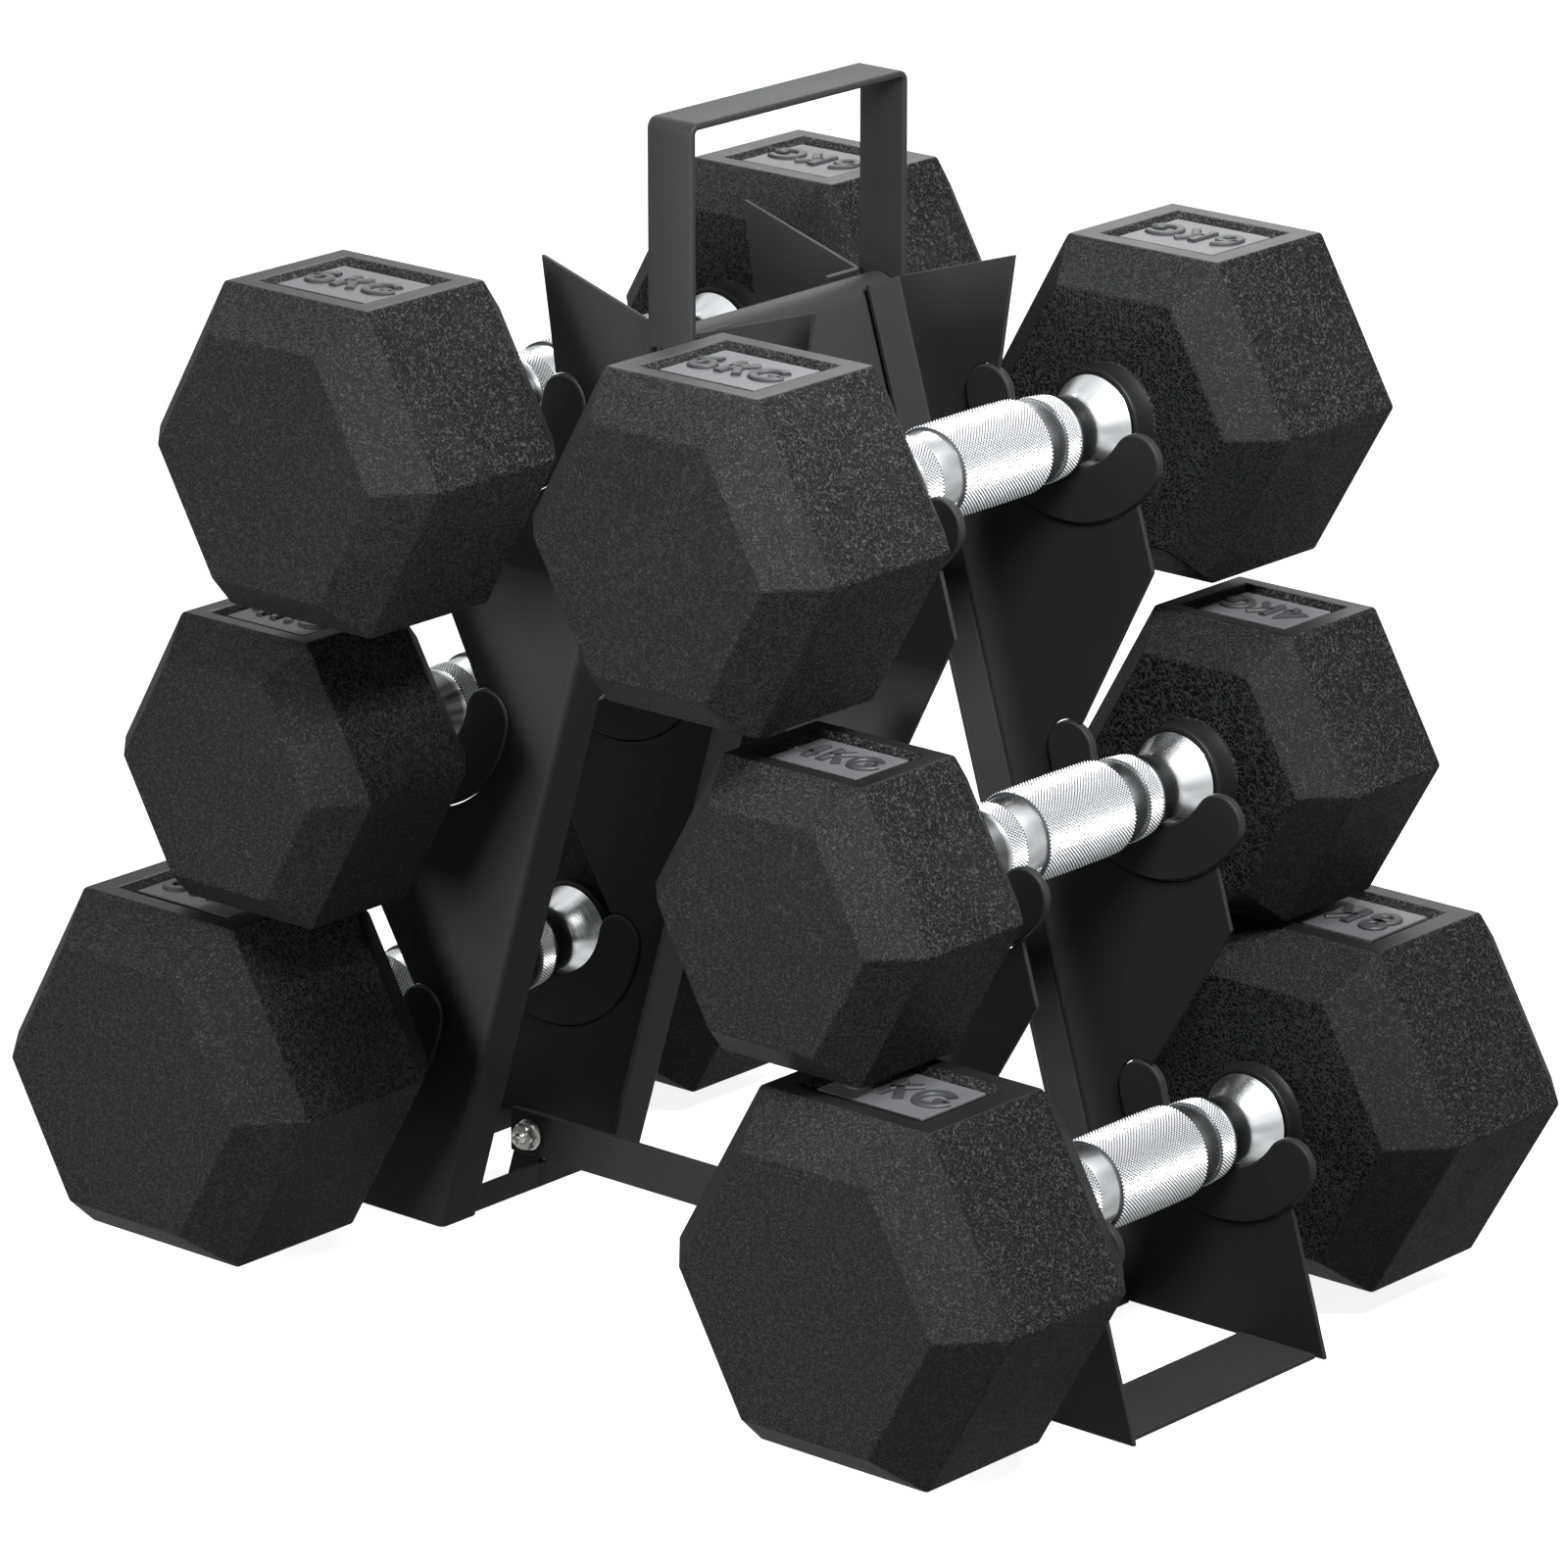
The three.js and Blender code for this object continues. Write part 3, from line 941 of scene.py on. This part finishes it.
@dataclass
class ApexCap:
    """A folded sheet with a rounded ridge between the flanges."""

    panels: LegPanels
    round: float = 7.0
    centre: float = 273.4
    clear: float = 0.9
    soften: float = 0.3

    def build(self) -> None:
        """Carries the folded profile along Y."""
        low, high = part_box("apex_cap")
        foot = low.z / MM
        half = high.y / MM
        sheet = self.panels.sheet
        lean = math.degrees(math.atan(self.panels.lean))
        reach = high.x / MM - sheet / 2 * math.hypot(1, self.panels.lean)
        crown = arc((0, self.centre), self.round - sheet / 2, 180 - lean, lean, 12)
        profile = np.concatenate([[[-reach, foot]], crown, [[reach, foot]]])
        y = np.array([-half, half])
        points = np.empty((2, len(profile), 3))
        points[:, :, 0] = profile[:, 0]
        points[:, :, 1] = y[:, None]
        points[:, :, 2] = profile[:, 1]
        skin = Skin()
        skin.grid(points)
        piece = skin.build("apex_cap_sheet", [Finish.POWDER_COAT])
        thicken(piece, sheet)
        round_edges(piece, self.soften)
        settle(piece, "rack", ["apex_cap"])


@dataclass
class FloorParts:
    """Strips and bars that lie along the floor, and the cross bar between the legs."""

    panels: LegPanels
    soften: float = 0.35

    def flat(self, node: str, ring: np.ndarray, low: float, high: float) -> None:
        """A plate with an outline in the XZ plane.

        Args:
            node: the CAD node that it stands for.
            ring: (x, z) points.
            low: its nearest y.
            high: its farthest y.
        """
        skin = Skin()
        outline = np.stack([ring[:, 0], 0 * ring[:, 0], ring[:, 1]], 1)
        skin.prism(outline, np.array([0, low, 0]), np.array([0, high, 0]))
        piece = skin.build(f"{node}_plate", [Finish.POWDER_COAT])
        round_edges(piece, self.soften)
        settle(piece, "rack", [node])

    def leaning(self, side: Side, low: Vector, high: Vector, slant: float) -> np.ndarray:
        """Outline of a plate whose outer edges lean with the leg.

        Args:
            side: which column.
            low: lowest corner of the plate's box.
            high: highest corner of the plate's box.
            slant: how far the inner edge is from the outer one, measured level.

        Returns:
            Four (x, z) points.
        """
        z0, z1 = low.z / MM, high.z / MM
        run = self.panels.lean * (z1 - z0)
        far = max(abs(low.x), abs(high.x)) / MM
        xs = np.array([far - slant, far, far - run, far - run - slant])
        return np.stack([side.value * xs, np.array([z0, z0, z1, z1])], 1)

    def build(self) -> None:
        """Makes the strips, the bars, the tabs and the cross bar."""
        for side in Side:
            for kind in ("floor_bar", "tab", "floor_strip"):
                node = f"{kind}_{side.word}"
                low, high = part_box(node)
                wide = (high.x - low.x) / MM
                lean = 0.0 if kind == "floor_strip" else self.panels.lean
                slant = wide - lean * (high.z - low.z) / MM
                if kind == "floor_strip":
                    x0, x1, z0, z1 = (v / MM for v in (low.x, high.x, low.z, high.z))
                    ring = np.array([[x0, z0], [x1, z0], [x1, z1], [x0, z1]])
                else:
                    ring = self.leaning(side, low, high, slant)
                self.flat(node, ring, low.y / MM, high.y / MM)
        low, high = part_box("cross_bar")
        x, z0, z1 = high.x / MM, low.z / MM, high.z / MM
        ring = np.array([[-x, z0], [x, z0], [x, z1], [-x, z1]])
        self.flat("cross_bar", ring, low.y / MM, high.y / MM)


@dataclass
class Bolt:
    """A hexagon bolt with a flange nut; its thread stands out of the nut."""

    side: Side
    flats: float = 7.0
    shank: float = 2.0
    head: float = 3.0
    pitch: float = 0.7
    thread: float = 0.24
    chamfer: float = 0.4
    segments: int = 72

    def centre(self) -> np.ndarray:
        """The bolt's axis, as a point in millimetres at y = 0."""
        low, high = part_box(f"nut_{self.side.word}")
        return np.array([(low.x + high.x) / 2, 0, (low.z + high.z) / 2]) / MM

    def hexagon(self, y0: float, y1: float, bore: float) -> np.ndarray:
        """A chamfered hexagon: at each angle the radius is the lesser of the flat's and a cone's.

        Args:
            y0: one face.
            y1: the other face.
            bore: radius at which both faces start.

        Returns:
            Rows along the axis by points round it.
        """
        a = np.linspace(0, 2 * math.pi, self.segments, endpoint=False)
        sixth = math.pi / 3
        flat = self.flats / 2 / np.cos((a + sixth / 2) % sixth - sixth / 2)
        corner = self.flats / 2 / math.cos(sixth / 2)
        ys = np.array([y0, y0, y0 + self.chamfer, y1 - self.chamfer, y1, y1])
        cone = np.array([bore, corner - self.chamfer, corner, corner, corner - self.chamfer, bore])
        r = np.minimum(flat[None, :], cone[:, None])
        return np.stack([r * np.sin(a), np.broadcast_to(ys[:, None], r.shape), r * np.cos(a)], -1)

    def threaded(self, y0: float, y1: float, radius: float) -> np.ndarray:
        """A helix: the radius swings as a cosine of the height less one pitch for each turn.

        Args:
            y0: the tip.
            y1: where the thread is hidden.
            radius: over the crests.

        Returns:
            Rows along the axis by points round it, with a small cone at the tip.
        """
        a = np.linspace(0, 2 * math.pi, self.segments, endpoint=False)
        y = np.arange(y0, y1, self.pitch / 8)[:, None]
        wave = 0.5 + 0.5 * np.cos(2 * math.pi * (y / self.pitch - a / (2 * math.pi)))
        taper = np.clip((y - y0) / 0.6, 0, 1)
        r = radius - self.thread * wave - (1 - taper) * 0.5
        rows = np.stack([r * np.sin(a), np.broadcast_to(y, r.shape), r * np.cos(a)], -1)
        ends = np.zeros((1, self.segments, 3))
        ends[..., 1] = y0
        tail = ends.copy()
        tail[..., 1] = y[-1]
        return np.concatenate([ends, rows, tail])

    def build(self) -> None:
        """Makes the bolt and the nut."""
        word = self.side.word
        where = self.centre()
        low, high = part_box(f"bolt_{word}")
        top, tip = high.y / MM, low.y / MM
        skin = Skin()
        skin.grid(self.hexagon(top - self.head, top, 0.0) + where, close_v=True)
        skin.grid(self.threaded(tip, top - self.head + 0.5, self.shank) + where, close_v=True)
        settle(skin.build(f"bolt_{word}_threaded", [Finish.ZINC]), "rack",
               [f"bolt_{word}"])
        low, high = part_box(f"nut_{word}")
        y0, y1 = low.y / MM, high.y / MM
        bore = self.shank + 0.1
        rim = (high.x - low.x) / 2 / MM - 0.05
        skin = Skin()
        skin.grid(self.hexagon(y0, y1 - 0.5, bore) + where, close_u=True, close_v=True)
        flange = np.array([[y1 - 0.8, bore], [y1 - 0.8, rim - 0.4], [y1 - 0.6, rim],
                           [y1 - 0.2, rim], [y1, rim - 0.2], [y1, bore]])
        skin.grid(spin(flange, 48) + where, close_u=True, close_v=True)
        settle(skin.build(f"nut_{word}_flanged", [Finish.ZINC]), "rack",
               [f"nut_{word}"])


# ---------------------------------------------------------------- the dumbbells


@dataclass
class HexHead:
    """A flat-topped hexagonal head with broad end bevels and a pocket in its top flat."""

    inner_body: float
    outer_body: float
    inner: float
    mark: str
    end_face: float = 0.755
    pocket: float = 0.378
    floor_wide: float = 0.85
    floor_long: float = 0.78
    pocket_depth: float = 2.4
    soften: float = 0.6
    collar_start: float = 51.6
    collar_lip: float = 14.6
    collar_foot: float = 16.2

    def middle(self) -> float:
        """Distance of the top flat's middle from the dumbbell's middle."""
        return (self.inner_body + self.outer_body) / 2

    def pocket_half(self, corner: float) -> tuple[float, float]:
        """Half the pocket's mouth, across and along."""
        return corner * self.pocket, (self.outer_body - self.inner_body) * self.pocket

    def body(self, corner: float, outer: float) -> Skin:
        """Four hexagons along Y joined by flats, with a sunk pocket in the top one.

        Args:
            corner: half the width over the corners.
            outer: distance of the outer end face.

        Returns:
            The closed surface about the handle's axis, on its +Y side.
        """
        a = np.radians(np.arange(6) * 60.0)
        small = corner * self.end_face
        ys = np.array([self.inner, self.inner_body, self.outer_body, outer])
        radii = np.array([small, corner, corner, small])
        rings = np.empty((4, 6, 3))
        rings[..., 0] = radii[:, None] * np.cos(a)
        rings[..., 1] = ys[:, None]
        rings[..., 2] = radii[:, None] * np.sin(a)
        skin = Skin()
        at = np.arange(24).reshape(4, 6)
        around = np.roll(at, -1, axis=1)
        quads = np.stack([at[:-1], around[:-1], around[1:], at[1:]], -1)
        keep = np.ones((3, 6), bool)
        keep[1, 1] = False
        bands = np.broadcast_to(np.array([1, 0, 1])[:, None], (3, 6))
        skin.add(rings, quads[keep])
        skin.dress = bands[keep].tolist()
        skin.faces += [at[0].tolist(), at[3].tolist()]
        skin.dress += [0, 1]
        wide, long = self.pocket_half(corner)
        mouth = np.array([[1, -1], [1, 1], [-1, 1], [-1, -1]]) * [wide, long]
        floor = mouth * [self.floor_wide, self.floor_long]
        top = rings[1, 1, 2]
        flat = np.array([rings[1, 1], rings[2, 1], rings[2, 2], rings[1, 2]])
        levels = np.stack([
            flat,
            np.column_stack([mouth[:, 0], mouth[:, 1] + self.middle(), np.full(4, top)]),
            np.column_stack([floor[:, 0], floor[:, 1] + self.middle(),
                             np.full(4, top - self.pocket_depth)]),
        ])
        first = skin.grid(levels, close_v=True)
        skin.dress[-8:] = [2, 2, 2, 2, 0, 0, 0, 0]
        skin.faces.append(list(range(first + 8, first + 12)))
        skin.dress.append(0)
        return skin

    def collar(self, start: float, end: float) -> np.ndarray:
        """Profile of a stretch of the moulded collar.

        Its radius is the lip's plus the foot's excess times the cube of the way along, so it
        runs into the head with a hollow sweep.

        Args:
            start: where the stretch starts on the way from lip (0) to foot (1).
            end: where it ends.

        Returns:
            Rows of (y, r).
        """
        t = np.linspace(start, end, 9)
        run = self.inner + 0.6 - self.collar_start
        sweep = self.collar_lip + 0.3 + (self.collar_foot - self.collar_lip - 0.3) * t ** 3
        skirt = np.stack([self.collar_start + 0.3 + t * run, sweep], 1)
        bore = self.collar_lip - 1.1
        front = [[skirt[0, 0], bore], [skirt[0, 0] - 0.3, bore + 0.3],
                 [skirt[0, 0] - 0.3, skirt[0, 1] - 0.3]] if start == 0 else [[skirt[0, 0], bore]]
        return np.concatenate([front, skirt, [[skirt[-1, 0] + 0.1, bore]]])


class Pen:
    """Draws characters as strokes in a cell one unit tall about the origin."""

    @staticmethod
    def strokes(letter: str) -> list[np.ndarray]:
        """The middle lines of a character's strokes.

        Args:
            letter: one of 4, 6, 8, K and G.

        Returns:
            Open lines, or rings whose last point is their first.
        """
        ring = functools.partial(arc, start=0, end=360, step=15)
        drawn = {
            "4": [np.array([[0.14, -0.44], [0.14, 0.44], [-0.28, -0.14], [0.3, -0.14]])],
            "6": [ring((0, -0.2), 0.235), arc((0.2, -0.12), 0.45, 100, 182, 10)],
            "8": [ring((0, -0.215), 0.235), ring((0, 0.235), 0.205)],
            "K": [np.array([[-0.24, -0.44], [-0.24, 0.44]]),
                  np.array([[-0.22, -0.06], [0.24, 0.42]]),
                  np.array([[-0.08, 0.08], [0.26, -0.42]])],
            "G": [np.concatenate([arc((0, 0), 0.36, 50, 350, 12),
                                  [[0.34, -0.06], [0.06, -0.06]]])],
        }
        return drawn[letter]

    @staticmethod
    def ribbon(line: np.ndarray, width: float, low: float, high: float) -> np.ndarray:
        """A stroke's section carried along its line: a bar whose top edges are rounded.

        Args:
            line: points in the plane.
            width: the stroke's width.
            low: height of its foot.
            high: height of its top.

        Returns:
            Points along the line by points round the section.
        """
        step = np.gradient(line, axis=0)
        if np.allclose(line[0], line[-1]):
            step[0] = step[-1] = line[1] - line[-2]
        step /= np.linalg.norm(step, axis=1, keepdims=True)
        across = np.stack([-step[:, 1], step[:, 0]], 1)
        h = width / 2
        soft = min(h, high - low) * 0.35
        section = np.array([[h, low], [h, high - soft], [h - soft, high],
                            [soft - h, high], [-h, high - soft], [-h, low]])
        points = np.empty((len(line), len(section), 3))
        points[:, :, :2] = line[:, None] + across[:, None] * section[None, :, :1]
        points[:, :, 2] = section[:, 1]
        return points


@dataclass
class Marking:
    """A thin grey plate with its weight in raised characters."""

    half_u: float
    half_v: float
    thick: float = 0.9
    rise: float = 0.9
    unit: float = 0.76
    stroke: float = 0.21
    spacing: float = 0.84
    root: float = 0.3

    def plate(self) -> Skin:
        """The plate, standing on z = 0.

        Returns:
            A closed slab.
        """
        ring = np.array([[1, 1], [-1, 1], [-1, -1], [1, -1]]) * [self.half_u, self.half_v]
        skin = Skin()
        skin.prism(np.column_stack([ring, np.zeros(4)]), np.zeros(3), np.array([0, 0, self.thick]))
        return skin

    def characters(self, text: str) -> Skin:
        """The characters, standing on the plate.

        Args:
            text: what they say.

        Returns:
            One closed bar for each stroke.
        """
        size = self.half_u * self.unit
        skin = Skin()
        for i, letter in enumerate(text):
            shift = np.array([(i - (len(text) - 1) / 2) * size * self.spacing, 0])
            for line in Pen.strokes(letter):
                points = Pen.ribbon(line * size + shift, size * self.stroke,
                                    self.thick - self.root, self.thick + self.rise)
                whole = np.allclose(line[0], line[-1])
                points = points[:-1] if whole else points
                first = skin.grid(points, close_u=whole, close_v=True)
                if not whole:
                    skin.cap(first, *points.shape[:2])
        return skin


@dataclass
class Handle:
    """A chromed bar: knurled barrel, groove, knurled ring, tapering neck and flare."""

    barrel_end: float = 18.3
    ring_start: float = 26.0
    ring_end: float = 32.3
    neck: tuple[float, float] = (41.0, 41.7)
    flare_end: float = 51.2
    neck_r: float = 9.2
    flare_r: float = 13.5
    hidden: float = 60.0
    columns: int = 152
    cell: float = 0.6
    relief: float = 0.46
    segments: int = 96
    barrel_r: float = 13.3
    barrel_crown: float = 0.2
    ring_r: tuple[float, float] = (12.3, 11.8)
    sleeve_depth: float = 1.5
    # painted shade along the bar: where each level applies along Y, and how fully lit the chrome is
    # painted there (0.7 in the groove, 0.12 on the neck cone)
    groove_lit_at: tuple = (18.3, 19.0, 25.5, 26.0, 32.4, 33.2, 40.2, 43.0)
    wear: tuple = (1.0, 0.7, 0.7, 1.0, 1.0, 0.12, 0.12, 1.0)

    def core(self) -> np.ndarray:
        """Smooth profile: grooves under the sleeves, a cone into the neck, then a flare whose
        radius grows as a power of the way along; mirrored about the middle.

        Returns:
            Rows of (y, r).
        """
        t = np.linspace(0, 1, 7)
        fall = np.stack([32.6 + t * (self.neck[0] - 32.6), 11.5 + t * (self.neck_r - 11.5)], 1)
        t = np.linspace(0, 1, 14)
        flare = np.stack([self.neck[1] + t * (self.flare_end - self.neck[1]),
                          self.neck_r + (self.flare_r - self.neck_r) * t ** 1.25], 1)
        rim = np.array([[self.flare_end + 0.2, self.flare_r - 0.1],
                        [self.flare_end + 0.3, self.flare_r - 0.5], [self.hidden, 12.6],
                        [self.hidden, 0]])
        half = np.concatenate([
            [[0, 12.2], [18.4, 12.2], [19.2, 12.1], [25.4, 11.8], [26.1, 11.5], [32.3, 11.4]],
            fall, flare, rim])
        other = half[1:][::-1] * [-1, 1]
        return np.concatenate([other, half])

    def sleeve(self, y0: float, y1: float, r0: float, r1: float, crown: float) -> tuple:
        """Diamond knurling: every other point of a fine net stands proud, so each diamond is a
        low pyramid whose valleys run both ways round the bar.

        Args:
            y0: one end.
            y1: the other end.
            r0: radius over the points at y0.
            r1: radius over the points at y1.
            crown: how much fuller the middle is.

        Returns:
            Points, triangles that fold along the valleys, and how proud each point is.
        """
        rows = 2 * round((y1 - y0) / self.cell / 2) + 1
        t = np.linspace(0, 1, rows)[:, None]
        a = np.linspace(0, 2 * math.pi, self.columns, endpoint=False)[None]
        i, j = np.indices((rows, self.columns))
        low = (i + j) % 2 == 1
        low[0] = low[-1] = True
        r = r0 + (r1 - r0) * t + crown * 4 * t * (1 - t) - self.relief * low
        y = np.broadcast_to(y0 + (y1 - y0) * t, r.shape)
        outer = np.stack([r * np.sin(a), y, r * np.cos(a)], -1)
        inside = min(r0, r1) - self.sleeve_depth
        back = spin(np.array([[y1, inside], [y0, inside]]), self.columns)
        points = np.concatenate([outer, back])
        # painted light level: points lit (1), valleys painted as shade (0); the hidden back is 0
        painted_lit = np.concatenate([1.0 - low, np.zeros((2, self.columns))])
        at = np.arange(points.shape[0] * self.columns).reshape(points.shape[0], -1)
        at = np.vstack([at, at[:1]])
        at = np.hstack([at, at[:, :1]])
        p, q, s, w = at[:-1, :-1], at[:-1, 1:], at[1:, 1:], at[1:, :-1]
        i, j = np.indices(p.shape)
        even = ((i + j) % 2 == 0)[..., None, None]
        split = np.where(even, np.stack([np.stack([p, q, w], -1), np.stack([q, s, w], -1)], -2),
                         np.stack([np.stack([p, q, s], -1), np.stack([p, s, w], -1)], -2))
        return points, split.reshape(-1, 3), painted_lit

    def surface(self) -> Skin:
        """The core and its three knurled sleeves.

        Returns:
            The core wears the first finish and the sleeves the second.
        """
        skin = Skin()
        core = self.core()
        # painted shade: the groove and the neck cone get low painted light levels, which darken the
        # chrome there
        groove_lit = np.interp(abs(core[:, 0]), self.groove_lit_at, self.wear)
        skin.grid(spin(core, self.segments), close_v=True,
                  painted_lit=np.repeat(groove_lit[:, None], self.segments, 1))
        near, far = self.ring_r
        for y0, y1, r0, r1, crown in (
            (-self.barrel_end, self.barrel_end, self.barrel_r, self.barrel_r, self.barrel_crown),
            (self.ring_start, self.ring_end, near, far, 0.0),
            (-self.ring_end, -self.ring_start, far, near, 0.0),
        ):
            points, triangles, painted_lit = self.sleeve(y0, y1, r0, r1, crown)
            skin.add(points, triangles, 1, painted_lit)
        return skin


@dataclass
class Dumbbell:
    """One dumbbell: a handle, two heads with collars, and two markings."""

    tier: str
    side: Side
    head: HexHead
    handle: Handle = field(default_factory=Handle)

    @property
    def body(self) -> str:
        """The body that all its pieces ride on."""
        return f"dumbbell_{self.tier}_{self.side.word}"

    def origin(self) -> np.ndarray:
        """The middle of its handle, in millimetres."""
        x, z = tier_axis(self.tier)
        return np.array([self.side.value * x, 0, z])

    def put(self, skin: Skin, end: End | None) -> None:
        """Turns a +Y part to its own end and moves it to the handle's axis.

        Args:
            skin: the part's surface, about the origin.
            end: which end it belongs to, or None for the handle.
        """
        turn = np.array([-1, -1, 1]) if end is End.NEAR else np.ones(3)
        skin.points = [points * turn + self.origin() for points in skin.points]

    def build_handle(self) -> None:
        """Makes the chromed bar."""
        node = f"handle_{self.tier}_{self.side.word}"
        skin = self.handle.surface()
        self.put(skin, None)
        piece = skin.build(f"{node}_chromed", [Finish.CHROME, Finish.KNURL], crease=28)
        settle(piece, self.body, [node])

    def build_head(self, end: End) -> None:
        """Makes one head, its collar and its marking.

        Args:
            end: which end of the handle.
        """
        tag = f"{self.tier}_{self.side.word}_{end.word}"
        low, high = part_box(f"head_{tag}")
        corner = (high.x - low.x) / 2 / MM
        outer = max(abs(low.y), abs(high.y)) / MM
        skin = self.head.body(corner, outer)
        self.put(skin, end)
        finishes = [Finish.RUBBER_GRAIN, Finish.RUBBER_FINE, Finish.RUBBER_SMOOTH]
        piece = skin.build(f"head_{tag}_moulded", finishes, 20)
        round_edges(piece, self.head.soften, 3, 20)
        settle(piece, self.body, [f"head_{tag}"])

        skin = Skin()
        for finish, (start, stop) in enumerate(((0.0, 0.8), (0.8, 1.0))):
            skin.grid(spin(self.head.collar(start, stop), 96), True, True, finish)
        self.put(skin, end)
        piece = skin.build(f"collar_{tag}", [Finish.RUBBER_SMOOTH, Finish.RUBBER_GRAIN], 50)
        settle(piece, self.body, [])
        self.build_marking(end, corner, tag)

    def build_marking(self, end: End, corner: float, tag: str) -> None:
        """Makes the plate in the pocket and its characters.

        Args:
            end: which end of the handle.
            corner: half the head's width over its corners.
            tag: the head's tier, side and end.
        """
        clear = 0.97
        wide, long = self.head.pocket_half(corner)
        marking = Marking(wide * self.head.floor_wide * clear, long * self.head.floor_long * clear)
        lift = np.array([0, self.head.middle(), corner * math.sqrt(3) / 2
                         - self.head.pocket_depth + 0.3])
        for skin, name, finish, nodes in (
            (marking.plate(), "plate", Finish.INLAY, [f"mark_{tag}"]),
            (marking.characters(self.head.mark + "KG"), "characters", Finish.CHARACTER, []),
        ):
            skin.points = [points * [-1, -1, 1] + lift for points in skin.points]
            self.put(skin, end)
            piece = skin.build(f"mark_{tag}_{name}", [finish])
            if name == "plate":
                round_edges(piece, 0.25)
            settle(piece, self.body, nodes)

    def build(self) -> None:
        """Makes every piece of the dumbbell."""
        self.build_handle()
        for end in End:
            self.build_head(end)


# -------------------------------------------------------------------- the studio


@dataclass
class Studio:
    """A pale floor, soft lights and the camera."""

    aim: tuple[float, float, float] = (0.0018, 0.0, 0.1423)
    azimuth: float = 40.94
    elevation: float = 17.61
    distance: float = 2.3242
    lens: float = 192.5
    reach: float = 12.0
    glow: float = 0.88
    ambient: float = 0.2
    walls: float = 0.42

    def camera(self) -> None:
        """Sets the camera at its azimuth and elevation, looking at the aim."""
        a, e = math.radians(self.azimuth), math.radians(self.elevation)
        back = Vector((math.sin(a) * math.cos(e), -math.cos(a) * math.cos(e), math.sin(e)))
        data = bpy.data.cameras.new("camera")
        data.lens = self.lens
        data.sensor_width = 36.0
        data.clip_end = 100.0
        camera = bpy.data.objects.new("camera", data)
        camera.location = Vector(self.aim) + back * self.distance
        camera.rotation_euler = back.to_track_quat("Z", "Y").to_euler()
        bpy.context.scene.collection.objects.link(camera)
        bpy.context.scene.camera = camera

    def light(self, name: str, azimuth: float, elevation: float, distance: float, size: float,
              power: float) -> None:
        """Adds a square soft light that faces the object.

        Args:
            name: the lamp's name.
            azimuth: its direction in degrees, by the camera's rule.
            elevation: its height in degrees.
            distance: from the aim in metres.
            size: its side in metres.
            power: in watts.
        """
        a, e = math.radians(azimuth), math.radians(elevation)
        back = Vector((math.sin(a) * math.cos(e), -math.cos(a) * math.cos(e), math.sin(e)))
        data = bpy.data.lights.new(name, "AREA")
        data.size = size
        data.energy = power
        lamp = bpy.data.objects.new(name, data)
        lamp.location = Vector(self.aim) + back * distance
        lamp.rotation_euler = back.to_track_quat("Z", "Y").to_euler()
        bpy.context.scene.collection.objects.link(lamp)

    def surroundings(self) -> None:
        """A dim room with soft patches, whose pale walls show fully only in shiny metal."""
        world = bpy.data.worlds.new("studio")
        g = Graph(world)
        toward = g.node("ShaderNodeTexCoord", {}, {}, "Generated")
        height = g.node("ShaderNodeSeparateXYZ", {}, {0: toward}, 2)
        patch = g.noise(toward, 2.4, 1.0).rise(0.38, 0.62)
        mirrored = g.node("ShaderNodeLightPath", {}, {}, "Is Glossy Ray")
        room = self.ambient * (0.3 + height.rise(-0.2, 0.8) * 0.7)
        strength = room + mirrored * (self.walls + patch * 0.4)
        background = g.tree.nodes["Background"]
        background.inputs["Color"].default_value = (1.0, 1.0, 1.0, 1.0)
        g.tree.links.new(strength.socket, background.inputs["Strength"])
        bpy.context.scene.world = world

    def floor(self) -> None:
        """A wide pale floor just under the rack."""
        mesh = bpy.data.meshes.new("floor")
        corners = [(x * self.reach, y * self.reach, 0)
                   for x, y in ((-1, -1), (1, -1), (1, 1), (-1, 1))]
        mesh.from_pydata(corners, [], [(0, 1, 2, 3)])
        g = Graph.material("floor")
        tone = g.between(g.noise(g.place(), 3.0, 2.0), (0.50, 0.50, 0.50), (0.52, 0.52, 0.52))
        glow = {"Emission Color": (1.0, 1.0, 1.0, 1.0), "Emission Strength": self.glow}
        mesh.materials.append(g.close({"Base Color": tone}, {"Roughness": 0.9, **glow}))
        floor = bpy.data.objects.new("floor", mesh)
        floor.visible_diffuse = floor.visible_glossy = False
        bpy.context.scene.collection.objects.link(floor)

    def build(self) -> None:
        """Makes the whole studio."""
        self.camera()
        self.surroundings()
        self.floor()
        self.light("front", -2.0, 9.0, 1.3, 0.4, 27.0)
        self.light("side", 75.0, 52.0, 0.9, 0.3, 22.0)
        self.light("back", 212.0, 38.0, 1.3, 0.6, 8.0)
        bpy.context.scene.view_settings.view_transform = "Standard"


HEADS = {
    "top": HexHead(72.0, 117.9, 58.9, "6"),
    "middle": HexHead(71.5, 109.3, 59.5, "4"),
    "bottom": HexHead(72.9, 118.8, 56.6, "8"),
}


def main() -> None:
    """Builds the rack, the dumbbells and the studio."""
    logging.basicConfig(level=logging.INFO, format="%(name)s: %(message)s")
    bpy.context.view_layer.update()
    Studio().build()
    cradles = Cradles()
    panels = LegPanels(cradles)
    panels.build()
    cradles.build(panels.plane)
    CarryStrap().build()
    ApexCap(panels).build()
    FloorParts(panels).build()
    for side in Side:
        Bolt(side).build()
        for tier in TIER_NAMES:
            Dumbbell(tier, side, HEADS[tier]).build()


if __name__ == "__main__":
    main()
